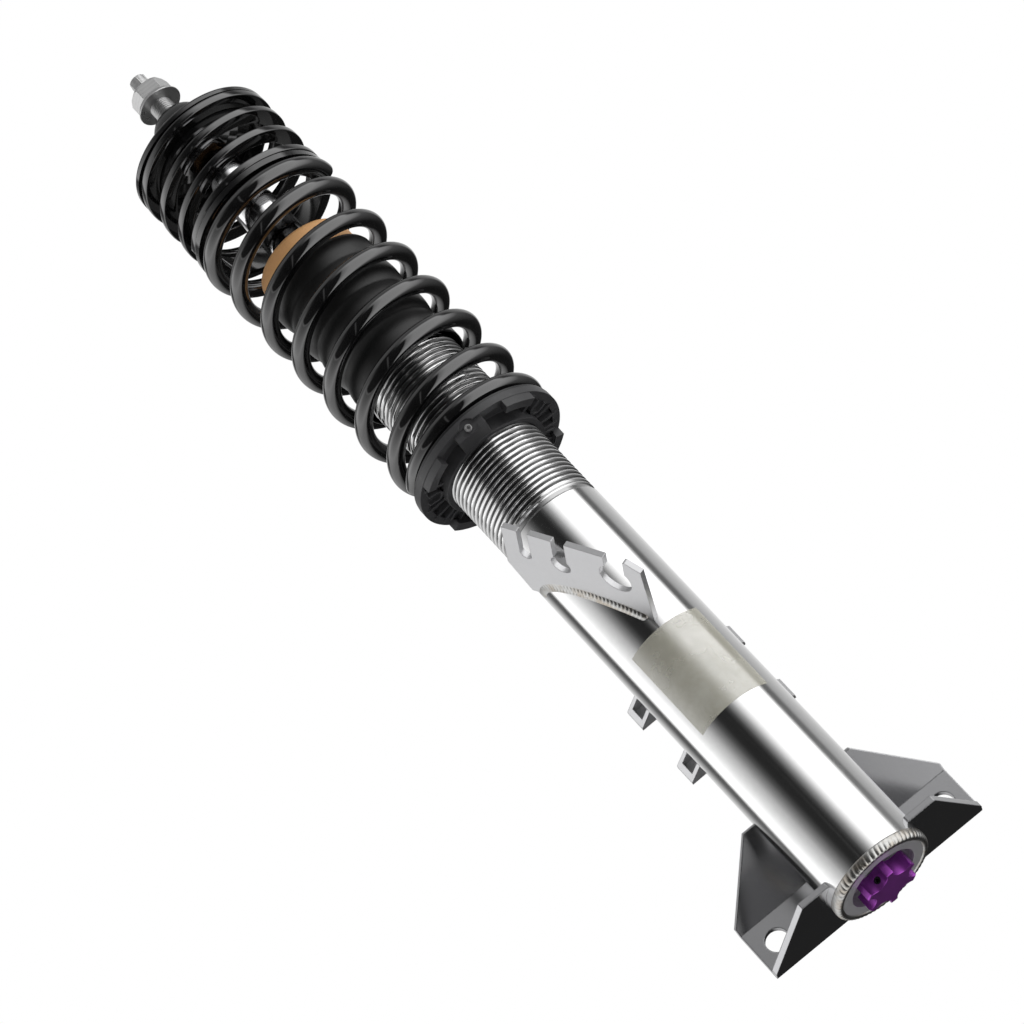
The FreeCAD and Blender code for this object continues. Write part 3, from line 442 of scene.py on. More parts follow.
@dataclass(frozen=True)
class Bead(Finish):
    """Weld metal: bright ripple tops, brown heat tint and specks of soot."""

    scale_depth: float = 0.06

    def shader(self, sheet: Sheet) -> dict:
        """Tint, soot and a scaly skin."""
        place = sheet.place()
        scale = sheet.noise(place, scale=900.0, detail=4.0, roughness=0.7)
        tint = sheet.noise(place, scale=140.0).rise(0.4, 0.7)
        soot = sheet.noise(place, scale=420.0, detail=5.0, roughness=0.75).rise(0.6, 0.75)
        colour = (soot * 0.6).between(tint.between(self.colour, HEAT_TINT), SOOT)
        return {"Base Color": colour,
                "Roughness": scale * 0.3 + (self.roughness - 0.1),
                "Normal": sheet.bump(scale, self.scale_depth, 0.8)}


@dataclass(frozen=True)
class Film(Finish):
    """A thin milky film, thicker and yellower in places."""

    thick: Colour = (0.92, 0.91, 0.84)
    crease_depth: float = 0.03

    def shader(self, sheet: Sheet) -> dict:
        """Milkiness, creases and a frosted skin."""
        place = sheet.place()
        x, y, z = sheet.parts(place)
        milk = sheet.noise(place, scale=45.0, detail=4.0)
        lengthwise = sheet.vector(x * 300.0, y * 300.0, z * 40.0)
        crease = sheet.noise(lengthwise, scale=1.0, detail=4.0)
        return {"Base Color": milk.between(self.colour, self.thick),
                "Roughness": crease * 0.2 + (self.roughness - 0.1),
                "Alpha": (milk * 0.34 + 0.12).at_most(0.6),
                "Normal": sheet.bump(crease, self.crease_depth, 0.5)}


# The tube's thread gets painted shade in its roots, inside a radius of 26 mm.
ZINC_TUBE = Plated("plated_tube", (0.66, 0.66, 0.66), 0.13, 1.0, thread_floor=26.0)
CAP_FACE = Turned("turned_cap", (0.46, 0.46, 0.47), 0.42, 0.35, rings=3600.0, groove=0.02)
ZINC_SHEET = Plated("plated_sheet", (0.60, 0.60, 0.61), 0.36, 0.75, mottle=650.0, grain=0.01, edge=0.5)
# A darker, glossier copy of the plated sheet for the knuckle bracket. Its darker colour is painted
# shade for the bracket's plates that face down, away from the light.
PAINTED_SHADE_SHEET = Plated("plated_sheet_painted_shade", (0.40, 0.40, 0.41), 0.20, 1.0, mottle=650.0, grain=0.006,
                    edge=0.7)
WELD = Bead("weld_metal", (0.50, 0.50, 0.49), 0.30, 1.0)
STEEL = Turned("machined_steel", (0.50, 0.49, 0.47), 0.28, 1.0)
CHROME = Turned("hard_chrome", (0.68, 0.68, 0.69), 0.08, 1.0, groove=0.001)
ZINC_HARDWARE = Turned("zinc_hardware", (0.52, 0.52, 0.52), 0.30, 0.75, rings=3000.0)
BLACK_SCREW = Turned("black_screw", (0.035, 0.035, 0.038), 0.30, 0.6)
SPRING_PAINT = Paint("spring_paint", (0.003, 0.003, 0.0034), 0.6, coat=1.0, coat_roughness=0.02,
                     coat_ior=1.85, peel=0.003, specular=0.08)
PLATE_PAINT = Paint("plate_paint", (0.005, 0.005, 0.0055), 0.5, coat=0.9, coat_roughness=0.08,
                    coat_ior=1.65, peel=0.006, edge=0.6, specular=0.15)
COLLAR_PLASTIC = Moulded("collar_plastic", (0.042, 0.042, 0.044), 0.38, light=2.0)
RING_PLASTIC = Moulded("ring_plastic", (0.014, 0.014, 0.015), 0.30)
BOOT_RUBBER = Moulded("boot_rubber", (0.010, 0.010, 0.010), 0.36, grain=0.02, light=1.6)
STOP_FOAM = Foam("stop_foam", (1.0, 0.50, 0.215), 0.62)
BUMPER = Moulded("bumper_rubber", (0.03, 0.03, 0.03), 0.6)
SEAL = Moulded("seal_rubber", (0.022, 0.022, 0.024), 0.5)
PURPLE = Anodised("purple_anodised", (0.36, 0.07, 0.46), 0.34, 0.75)
CAST = Moulded("cast_alloy", (0.42, 0.42, 0.42), 0.5, 0.9, grain=0.08, light=1.2)
BRONZE = Turned("bronze_lining", (0.55, 0.36, 0.16), 0.3, 1.0)
VALVE = Turned("valve_steel", (0.45, 0.46, 0.48), 0.2, 1.0)
BAND = Moulded("slippery_band", (0.33, 0.22, 0.12), 0.4, light=1.3)
FILM = Film("clear_film", (0.86, 0.83, 0.66), 0.30)

KEPT_NODES: dict[Finish, tuple[str, ...]] = {
    CAP_FACE: ("bottom_cap", "gland_nut"),
    PAINTED_SHADE_SHEET: ("knuckle_bracket",),
    ZINC_SHEET: ("line_bracket", "guide_clips", "stop_ring"),
    STEEL: ("compression_needle", "inner_cylinder", "piston_nut", "rebound_spindle"),
    ZINC_HARDWARE: ("top_nut", "grub_screw"),
    BLACK_SCREW: ("knob_clamp_screw",),
    PLATE_PAINT: ("top_plate", "top_hat", "spring_spacer"),
    COLLAR_PLASTIC: ("adjuster_collar",),
    RING_PLASTIC: ("seat_ring",),
    BUMPER: ("topout_bumper",),
    SEAL: ("oil_seal", "rod_wiper", "gland_oring"),
    PURPLE: ("compression_knob",),
    CAST: ("foot_valve", "rod_guide", "piston"),
    BRONZE: ("guide_bush",),
    VALVE: ("foot_valve_discs", "rebound_discs"),
    BAND: ("piston_band",),
    FILM: ("tube_film",),
}


# Meshes about the strut's own axis, in millimetres above the cap's face


Point = tuple[float, float, float]
AXIS_Y = -35.2
CAP_FACE_Z = -22.5
ROUND_STEPS = 8


def on_strut(radius: float, angle: float, height: float) -> Point:
    """Point in the frame at a radius, an angle in radians and a height."""
    return (radius * math.cos(angle) * MM, (radius * math.sin(angle) + AXIS_Y) * MM,
            (height + CAP_FACE_Z) * MM)


def around(columns: int) -> list[float]:
    """Equal angles round a circle, in radians."""
    return [2 * math.pi * column / columns for column in range(columns)]


def ring(radius: float, height: float, columns: int) -> list[Point]:
    """Round row of points about the strut's axis."""
    return [on_strut(radius, angle, height) for angle in around(columns)]


@dataclass
class Skin:
    """Rows of points that are joined into one surface."""

    name: str
    finish: Finish
    points: list[Point] = field(default_factory=list)
    faces: list[tuple[int, ...]] = field(default_factory=list)

    def rows(self, rows: Sequence[Sequence[Point]], closed: bool = False,
             capped: bool = False) -> None:
        """Join rows of equal length, each of which ends where it starts.

        Args:
            rows: points of each row.
            closed: whether the last row meets the first.
            capped: whether the first and the last row are filled.
        """
        start = len(self.points)
        width = len(rows[0])
        for row in rows:
            self.points.extend(row)
        count = len(rows)
        for a in range(count if closed else count - 1):
            b = (a + 1) % count
            for c in range(width):
                d = (c + 1) % width
                self.faces.append((start + a * width + c, start + a * width + d,
                                   start + b * width + d, start + b * width + c))
        if capped:
            last = start + (count - 1) * width
            self.faces.append(tuple(range(start + width - 1, start - 1, -1)))
            self.faces.append(tuple(range(last, last + width)))

    def lathe(self, outline: Sequence[Pair], columns: int) -> None:
        """Turn a closed outline of (radius, height) points about the strut's axis."""
        self.rows([ring(radius, height, columns) for radius, height in outline], closed=True)

    def piece(self, sharp: float) -> bpy.types.Object:
        """Make the object.

        Args:
            sharp: angle in degrees above which an edge stays crisp.

        Returns:
            The new object, linked into the scene.
        """
        mesh = bpy.data.meshes.new(self.name)
        mesh.from_pydata(self.points, [], self.faces)
        shaped = bmesh.new()
        shaped.from_mesh(mesh)
        bmesh.ops.recalc_face_normals(shaped, faces=shaped.faces)
        shaped.to_mesh(mesh)
        shaped.free()
        mesh.shade_smooth()
        mesh.set_sharp_from_angle(angle=math.radians(sharp))
        mesh.materials.append(self.finish.material())
        made = bpy.data.objects.new(self.name, mesh)
        bpy.context.scene.collection.objects.link(made)
        LOG.info("%s: %d faces", self.name, len(mesh.polygons))
        return made


@dataclass(frozen=True)
class Thread:
    """A right-handed thread with flat crests and roots."""

    start: float
    end: float
    pitch: float
    depth: float
    crest: float
    root: float
    fade: float = 2.5

    def cut(self, height: float, angle: float) -> float:
        """Depth of the groove at a height and an angle in radians."""
        share = ((height - self.start) / self.pitch - angle / (2 * math.pi)) % 1.0 * self.pitch
        flank = (self.pitch - self.crest - self.root) / 2
        half = abs(share - self.pitch / 2)
        depth = min(1.0, max(0.0, (self.root / 2 + flank - half) / flank))
        ends = min(1.0, max(0.0, (height - self.start) / self.fade),
                   max(0.0, (self.end - height) / self.fade))
        return self.depth * depth * ends

    def rows(self, radius: float, steps: int, columns: int) -> list[list[Point]]:
        """Rows of points that hold the thread."""
        count = int((self.end - self.start) / self.pitch * steps)
        turns = around(columns)
        heights = [self.start + (self.end - self.start) * k / count for k in range(count + 1)]
        return [[on_strut(radius - self.cut(z, a), a, z) for a in turns] for z in heights]


@dataclass
class Damper:
    """The damper: its tube, bump stop and boot."""

    tube_radius: float = 26.2
    tube_bore: float = 23.6
    tube_foot: float = 4.0
    tube_top: float = 352.0
    tube_bevel: float = 0.2
    tube_bevel_height: float = 0.3
    tube_rows: int = 24
    rim_bevel: float = 0.7
    relief_height: float = 3.4
    relief_depth: float = 0.7
    relief_round: float = 0.1
    thread: Thread = Thread(start=241.5, end=351.2, pitch=3.0, depth=1.35, crest=0.75, root=0.45)
    thread_steps: int = 12
    columns: int = 120
    bump_bore: float = 11.02
    bump_bore_bevel: float = 1.0
    bump_neck: float = 20.0
    bump_radius: float = 26.0
    bump_foot: float = 422.6
    bump_neck_top: float = 426.0
    bump_top: float = 443.0
    bump_neck_bevel: float = 0.6
    bump_low_round: float = 1.6
    bump_high_round: float = 3.0
    bump_waist: float = 0.25
    bump_rows: int = 6
    bump_columns: int = 128
    boot_foot: float = 350.0
    boot_top: float = 426.0
    boot_crest: float = 29.4
    boot_valley: float = 27.6
    boot_wall: float = 0.9
    boot_hem: Pairs = ((0.9, 0.4), (0.45, 0.0), (0.05, 0.35))
    boot_hem_height: float = 0.8
    boot_shoulder: Pairs = ((0.5, 0.8), (2.0, 0.1), (3.4, 0.02))
    boot_gap: float = 0.05
    boot_rows: int = 90
    boot_columns: int = 144
    boot_cuff: float = 9.0
    boot_lid: float = 2.0
    boot_folds: int = 3
    stroke_keep: float = 0.76

    def tube(self) -> bpy.types.Object:
        """The outer tube with its relief groove and its thread."""
        skin = Skin("tube_with_thread", ZINC_TUBE)
        radius, relief, start = self.tube_radius, self.relief_depth, self.thread.start
        low = self.tube_foot + self.tube_bevel_height
        high = start - self.relief_height
        below = [(self.tube_bore, self.tube_foot), (radius - self.tube_bevel, self.tube_foot)]
        below += [(radius, low + (high - low) * k / self.tube_rows) for k in range(self.tube_rows)]
        below += [(radius, high), (radius - relief * 0.3, high + self.relief_round),
                  (radius - relief, high + relief), (radius - relief, start - relief),
                  (radius - self.relief_round, start - self.relief_round)]
        above = [(radius - self.rim_bevel, self.tube_top), (self.tube_bore, self.tube_top)]
        skin.rows([ring(*spot, self.columns) for spot in below]
                  + self.thread.rows(radius, self.thread_steps, self.columns)
                  + [ring(*spot, self.columns) for spot in above], closed=True)
        made = skin.piece(sharp=28.0)
        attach(made, Body.HOUSING.value)
        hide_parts("strut_tube")
        return made

    def bump_stop(self) -> bpy.types.Object:
        """The foam stop, with soft corners and a shallow waist."""
        skin = Skin("foam_stop", STOP_FOAM)
        neck, radius, bevel = self.bump_neck, self.bump_radius, self.bump_neck_bevel
        outline = [(self.bump_bore, self.bump_foot), (neck - bevel, self.bump_foot),
                   (neck, self.bump_foot + bevel), (neck, self.bump_neck_top - bevel / 2)]
        low = self.bump_neck_top + self.bump_low_round
        high = self.bump_top - self.bump_high_round
        outline += self.quarter(radius, low, self.bump_low_round, -90.0)
        for k in range(1, self.bump_rows):
            share = k / self.bump_rows
            outline.append((radius - self.bump_waist * math.sin(math.pi * share),
                            low + (high - low) * share))
        outline += self.quarter(radius, high, self.bump_high_round, 0.0)
        outline += [(self.bump_bore + self.bump_bore_bevel, self.bump_top),
                    (self.bump_bore, self.bump_top - self.bump_bore_bevel)]
        skin.lathe(outline, self.bump_columns)
        made = skin.piece(sharp=50.0)
        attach(made, Body.ROD.value)
        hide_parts("bump_stop")
        return made

    @staticmethod
    def quarter(radius: float, height: float, size: float, first: float) -> list[Pair]:
        """Quarter round of an outline, whose outermost point is at a radius and a height."""
        turns = [math.radians(first + 90.0 * k / ROUND_STEPS) for k in range(ROUND_STEPS + 1)]
        return [(radius - size + size * math.cos(turn), height + size * math.sin(turn))
                for turn in turns]

    def boot_radius(self, height: float) -> float:
        """Outer radius of the boot at a height."""
        top = self.boot_top - self.boot_lid
        share = (height - self.boot_foot - self.boot_cuff) / (top - self.boot_foot - self.boot_cuff)
        if share <= 0:
            return self.boot_crest
        wave = 0.5 + 0.5 * math.cos(2 * math.pi * self.boot_folds * share)
        return self.boot_valley + (self.boot_crest - self.boot_valley) * math.sqrt(wave)

    def boot(self) -> bpy.types.Object:
        """The bellows, with a rolled hem and a lid that clips on the stop's neck."""
        skin = Skin("rubber_boot", BOOT_RUBBER)
        crest, top = self.boot_crest, self.boot_top - self.boot_lid
        low = self.boot_foot + self.boot_hem_height
        heights = [low + (top - low) * k / self.boot_rows for k in range(self.boot_rows + 1)]
        outer = [(self.boot_radius(z), z) for z in heights]
        hem = [(crest - inset, self.boot_foot + rise) for inset, rise in self.boot_hem]
        lid = [(crest - inset, self.boot_top - drop) for inset, drop in self.boot_shoulder]
        lid += [(self.bump_neck + self.boot_gap, lid[-1][1]), (self.bump_neck + self.boot_gap, top)]
        inner = [(r - self.boot_wall, z) for r, z in reversed(outer)]
        inner[0] = (inner[0][0], top - self.boot_gap)
        skin.lathe(hem + outer + lid + inner, self.boot_columns)
        made = skin.piece(sharp=60.0)
        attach(made, Body.ROD.value)
        on_strut(0, 0, self.boot_top)
        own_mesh(made)
        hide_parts("dust_boot")
        return made


@dataclass
class Rod:
    """The piston rod with its threaded stud and drive tip."""

    foot: float
    spigot: float = 7.0
    spigot_top: float = 0.0
    radius: float = 11.0
    bore: float = 2.5
    shoulder: float = 536.9
    shank: float = 6.3
    hat_top: float = 556.5
    stud: float = 6.0
    thread_top: float = 579.7
    tip_top: float = 587.4
    tip_flats: float = 8.6
    tip_bevel: float = 0.7
    spigot_bevel: float = 0.6
    shoulder_bevel: float = 1.0
    stud_bevel: float = 0.3
    stud_tip_bevel: float = 0.8
    thread_gap: float = 0.4
    thread_steps: int = 10
    shaft_rows: int = 20
    columns: int = 96

    def six_sided(self, height: float, limit: float) -> list[Point]:
        """Six-sided row of the drive tip, with its corners cut back to a limit."""
        side = math.pi / 3
        row = []
        for angle in around(self.columns):
            reach = self.tip_flats / 2 / math.cos((angle + side / 2) % side - side / 2)
            row.append(on_strut(min(limit, reach), angle, height))
        return row

    def build(self) -> bpy.types.Object:
        """Turn the rod and cut its thread."""
        skin = Skin("rod_with_stud", CHROME)
        thread = Thread(start=self.hat_top + self.thread_gap, end=self.thread_top - self.thread_gap,
                        pitch=1.25, depth=0.62, crest=0.22, root=0.18, fade=0.5)
        low, high = self.spigot_top, self.shoulder - self.shoulder_bevel
        below = [(self.bore, self.foot), (self.spigot - self.spigot_bevel, self.foot),
                 (self.spigot, self.foot + self.spigot_bevel), (self.spigot, low), (self.radius, low)]
        below += [(self.radius, low + (high - low) * k / self.shaft_rows)
                  for k in range(1, self.shaft_rows + 1)]
        below += [(self.radius - self.shoulder_bevel, self.shoulder), (self.shank, self.shoulder),
                  (self.shank, self.hat_top), (self.stud, self.hat_top + self.stud_bevel)]
        corner = self.tip_flats / math.sqrt(3)
        rows = [ring(*spot, self.columns) for spot in below]
        rows += thread.rows(self.stud, self.thread_steps, self.columns)
        rows += [ring(self.stud - self.stud_tip_bevel, self.thread_top, self.columns),
                 self.six_sided(self.thread_top, corner),
                 self.six_sided(self.tip_top - self.tip_bevel, corner),
                 self.six_sided(self.tip_top, self.tip_flats / 2),
                 ring(self.bore, self.tip_top, self.columns)]
        skin.rows(rows, closed=True)
        made = skin.piece(sharp=28.0)
        made.data.materials.append(ZINC_HARDWARE.material())
        made.data.materials.append(STEEL.material())
        line = (self.shoulder + CAP_FACE_Z) * MM - 1e-6
        low = (self.spigot_top + CAP_FACE_Z) * MM
        for face in made.data.polygons:
            if face.center.z > line:
                face.material_index = 1
            elif face.center.z < low:
                face.material_index = 2
        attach(made, Body.ROD.value)
        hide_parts("piston_rod")
        return made


@dataclass
class CoilSpring:
    """A right-handed spring with closed ends, wound from round or flat wire."""

    name: str
    radius: float
    turns: float
    foot: float
    top: float
    end_turns: float
    end_pitch: float
    ramp_turns: float
    start_angle: float
    half_width: float
    half_height: float
    corner: float
    per_turn: int
    section: int
    end_chamfer: float = 0.18
    end_sizes: Pair = (0.86, 0.97)
    end_reach: float = 2.2
    probe: float = 1e-3

    def slope_height(self, turn: float, pitch: float) -> float:
        """Rise at a count of turns from an end."""
        if turn <= self.end_turns:
            return self.end_pitch * turn
        rise = self.end_pitch * self.end_turns
        if turn <= self.end_turns + self.ramp_turns:
            part = turn - self.end_turns
            return (rise + self.end_pitch * part
                    + (pitch - self.end_pitch) * part * part / (2 * self.ramp_turns))
        rise += (self.end_pitch + pitch) / 2 * self.ramp_turns
        return rise + pitch * (turn - self.end_turns - self.ramp_turns)

    def height(self, turn: float) -> float:
        """Height of the wire's centre after a count of turns."""
        low, high = self.foot + self.half_height, self.top - self.half_height
        ends = self.end_pitch * (2 * self.end_turns + self.ramp_turns)
        pitch = (high - low - ends) / (self.turns - 2 * self.end_turns - self.ramp_turns)
        if turn <= self.turns / 2:
            return low + self.slope_height(turn, pitch)
        return high - self.slope_height(self.turns - turn, pitch)

    def outline(self) -> list[Pair]:
        """The wire's section, outwards and up from its centre."""
        w, h, c = self.half_width - self.corner, self.half_height - self.corner, self.corner
        points = []
        for side_w, side_h, first in ((1, 1, 0), (-1, 1, 90), (-1, -1, 180), (1, -1, 270)):
            for k in range(self.section // 4):
                turn = math.radians(first + 90.0 * k / (self.section // 4))
                points.append((side_w * w + c * math.cos(turn), side_h * h + c * math.sin(turn)))
        return points

    def sections(self) -> list[Pair]:
        """Turn and size of each section of the wire, smaller at its chamfered ends."""
        steps = int(self.turns * self.per_turn)
        step = self.end_chamfer * self.half_height / (2 * math.pi * self.radius)
        wide = self.end_reach * step
        tip, shoulder = self.end_sizes
        middle = [(self.turns * k / steps, 1.0) for k in range(1, steps)]
        return [(0.0, tip), (step, shoulder), (wide, 1.0), *middle, (self.turns - wide, 1.0),
                (self.turns - step, shoulder), (self.turns, tip)]

    def lean(self, turn: float) -> float:
        """Angle by which a round wire's section leans with the winding's slope."""
        if self.half_width != self.half_height:
            return 0.0
        before, after = max(0.0, turn - self.probe), min(self.turns, turn + self.probe)
        slope = (self.height(after) - self.height(before)) / (after - before)
        return math.atan(slope / (2 * math.pi * self.radius))

    def build(self, finish: Finish) -> tuple[bpy.types.Object, list[float]]:
        """Wind the spring.

        Args:
            finish: the wire's finish.

        Returns:
            The object, and each point's share of the spring's height at its wire's centre.
        """
        skin = Skin(self.name, finish)
        outline = self.outline()
        rows, shares = [], []
        low, high = self.height(0.0), self.height(self.turns)
        start = math.radians(self.start_angle)
        for turn, size in self.sections():
            angle = start + 2 * math.pi * turn
            lean = self.lean(turn)
            centre = self.height(turn)
            row = []
            for out, up in outline:
                back = -up * size * math.sin(lean) / self.radius
                row.append(on_strut(self.radius + out * size, angle + back,
                                    centre + up * size * math.cos(lean)))
            rows.append(row)
            shares += [(centre - low) / (high - low)] * len(outline)
        skin.rows(rows, capped=True)
        return skin.piece(sharp=40.0), shares


@dataclass
class SpringStack:
    """The main spring under the spacer and the helper spring over it."""

    main: CoilSpring = field(default_factory=lambda: CoilSpring(
        "coil_of_round_wire", radius=37.05, turns=7.45, foot=295.0, top=474.3, end_turns=0.32,
        end_pitch=6.0, ramp_turns=0.48, start_angle=187.0, half_width=4.45, half_height=4.45,
        corner=4.45, per_turn=80, section=32))
    helper: CoilSpring = field(default_factory=lambda: CoilSpring(
        "coil_of_flat_wire", radius=35.7, turns=3.5, foot=477.5, top=527.2, end_turns=0.25,
        end_pitch=2.3, ramp_turns=0.20, start_angle=190.0, half_width=4.25, half_height=2.0,
        corner=0.7, per_turn=96, section=24))
    helper_keep: float = 0.626

    def build(self) -> None:
        """Wind both springs."""
        coil, shares = self.main.build(SPRING_PAINT)
        on_strut(0, 0, self.main.foot)
        on_strut(0, 0, self.main.top)
        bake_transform(coil)
        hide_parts("main_spring")
        flat, _ = self.helper.build(SPRING_PAINT)
        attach(flat, Body.SPACER.value)
        on_strut(0, 0, self.helper.foot)
        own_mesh(flat)
        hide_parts("helper_spring")


@dataclass
class WeldRun:
    """A rippled bead in the corner between the tube and a plate.

    The plate's face is a height on the axis and its slopes along x and y.
    """

    first: float
    last: float
    face: tuple[float, float, float]
    side: float
    size: float
    tube_radius: float = 26.2
    ripple: float = 2.1
    swell: float = 0.16
    trail: float = 0.35
    blunt: float = 0.15
    sink: float = 0.4
    rows_per_degree: int = 3
    arc_steps: int = 12

    def at(self, angle: float) -> Vector:
        """Corner between the tube and the plate at an angle in degrees."""
        x = self.tube_radius * math.cos(math.radians(angle))
        y = self.tube_radius * math.sin(math.radians(angle))
        height, slope_x, slope_y = self.face
        return Vector((x, y, height + slope_x * x + slope_y * y))

    def rows(self) -> list[list[Point]]:
        """Rows across the bead, from one end to the other."""
        count = int(abs(self.last - self.first) * self.rows_per_degree)
        normal = Vector((-self.face[1], -self.face[2], 1.0)).normalized() * self.side
        spots = [self.at(self.first + (self.last - self.first) * k / count) for k in range(count + 1)]
        rows, run = [], 0.0
        length = sum((b - a).length for a, b in zip(spots, spots[1:]))
        for k, spot in enumerate(spots):
            ahead = (spots[min(k + 1, count)] - spots[max(k - 1, 0)]).normalized()
            run += (spot - spots[k - 1]).length if k else 0.0
            away = Vector((spot.x, spot.y, 0.0)).normalized()
            along_plate = normal.cross(ahead)
            along_plate *= 1.0 if along_plate.dot(away) > 0 else -1.0
            along_tube = away.cross(ahead)
            along_tube *= 1.0 if along_tube.dot(normal) > 0 else -1.0
            end = min(1.0, (min(run, length - run) / self.size + self.blunt)) ** 0.5
            row = [spot - (away + normal) * self.sink]
            for step in range(self.arc_steps + 1):
                turn = math.pi / 2 * step / self.arc_steps
                phase = (run / self.ripple + self.trail * math.sin(2 * turn)) % 1.0
                wave = 1.0 - self.swell * (2 * phase - 1) ** 2
                reach = self.size * end * (wave if 0 < step < self.arc_steps else 1.0)
                row.append(spot + along_plate * reach * math.cos(turn)
                           + along_tube * reach * math.sin(turn))
            rows.append([(p.x * MM, (p.y + AXIS_Y) * MM, (p.z + CAP_FACE_Z) * MM) for p in row])
        return rows


@dataclass
class Welds:
    """Every bead on the housing."""

    ring_ripples: int = 62
    ring_columns: int = 744
    ring_outline: Pairs = (
        (23.6, 4.0), (23.6, 0.9), (22.8, 0.65), (23.2, 0.25), (23.8, 0.05), (24.4, 0.0), (25.0, 0.1),
        (25.55, 0.4), (26.0, 0.95), (26.3, 1.7), (26.42, 2.6), (26.42, 3.5), (26.36, 4.4),
        (26.24, 5.1), (26.1, 5.2), (26.15, 4.0))
    ripple_first: int = 2
    ripple_last: int = 13
    ripple_depth: float = 0.34
    ripple_bend: float = 0.5
    ripple_inward: float = 0.75
    ripple_upward: float = 0.6
    uneven: tuple[tuple[float, int, float], ...] = ((0.10, 5, 1.0), (0.07, 13, 0.0))

    def ring_phase(self, angle: float, index: int) -> float:
        """Place within a ripple, from nought to one, at an angle and on a row of the outline."""
        across = (index - self.ripple_first) / (self.ripple_last - self.ripple_first)
        wander = sum(size * math.sin(count * angle + shift) for size, count, shift in self.uneven)
        bend = self.ripple_bend * math.sin(math.pi * across)
        return (angle / (2 * math.pi) * self.ring_ripples + bend + wander) % 1.0

    def cap_ring(self) -> bpy.types.Object:
        """The rippled bead round the foot of the tube."""
        skin = Skin("foot_bead", WELD)
        span = self.ripple_last - self.ripple_first + 1.5
        rows = []
        for index, (radius, height) in enumerate(self.ring_outline):
            lift = 0.0
            if self.ripple_first <= index <= self.ripple_last:
                lift = self.ripple_depth * math.sin(math.pi * (index - self.ripple_first + 0.5) / span)
            row = []
            for angle in around(self.ring_columns):
                dip = lift * (2 * self.ring_phase(angle, index) - 1) ** 2
                row.append(on_strut(radius - dip * self.ripple_inward, angle,
                                    height + dip * self.ripple_upward))
            rows.append(row)
        skin.rows(rows, closed=True)
        made = skin.piece(sharp=75.0)
        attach(made, Body.HOUSING.value)
        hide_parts("cap_weld")
        return made

    def plate_beads(self) -> None:
        """The beads of the knuckle bracket and of the line bracket."""
        bracket = (WeldRun(first=-17.0, last=197.0, face=(11.8, 0.0, 0.0), side=1.0, size=2.5),
                   WeldRun(first=31.0, last=149.0, face=(82.26, 0.0, -1.3178), side=1.0, size=2.5))
        line = (WeldRun(first=266.0, last=183.0, face=(144.5, -2.62, -0.4), side=-1.0, size=2.2),)
        for name, node, runs in (("bracket_beads", "bracket_welds", bracket),
                                 ("line_bead", "line_bracket_weld", line)):
            skin = Skin(name, WELD)
            for run in runs:
                skin.rows(run.rows(), capped=True)
            made = skin.piece(sharp=75.0)
            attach(made, Body.HOUSING.value)
            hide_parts(node)


# Camera, light and floor


@dataclass(frozen=True)
class CameraStand:
    """Where the camera stands, from the strut's axis."""

    axis: Pair = (0.0, -0.0352)
    distance: float = 1.770
    height: float = -0.6948
    azimuth: float = -10.0
    elevation: float = 27.8
    roll_up: float = 0.7299
    roll_side: float = 0.6836
    aside: float = 20.9
    focal: float = 4255.0
    image: float = 1024.0
    sensor: float = 36.0
    reach: float = 20.0

    def ahead(self) -> Vector:
        """Level direction in which the camera looks."""
        turn = math.radians(self.azimuth)
        return Vector((-math.sin(turn), math.cos(turn), 0.0))

    def build(self) -> None:
        """Make the camera and make it the scene's."""
        a, e = math.radians(self.azimuth), math.radians(self.elevation)
        ahead = self.ahead()
        right = Vector((math.cos(a), math.sin(a), 0.0))
        look = ahead * math.cos(e) + Vector((0, 0, math.sin(e)))
        up = ahead * -math.sin(e) + Vector((0, 0, math.cos(e)))
        turn = math.atan(self.aside / self.focal)
        look, right = (look * math.cos(turn) - right * math.sin(turn),
                       right * math.cos(turn) + look * math.sin(turn))
        image_right = up * -self.roll_side + right * self.roll_up
        image_up = up * self.roll_up + right * self.roll_side
        data = bpy.data.cameras.new("camera")
        data.sensor_width = self.sensor
        data.lens = self.focal * self.sensor / self.image
        data.clip_end = self.reach
        camera = bpy.data.objects.new("camera", data)
        columns = Matrix((image_right, image_up, look * -1)).transposed()
        place = Vector((*self.axis, self.height)) - ahead * self.distance
        camera.matrix_world = Matrix.Translation(place) @ columns.to_4x4()
        bpy.context.scene.collection.objects.link(camera)
        bpy.context.scene.camera = camera


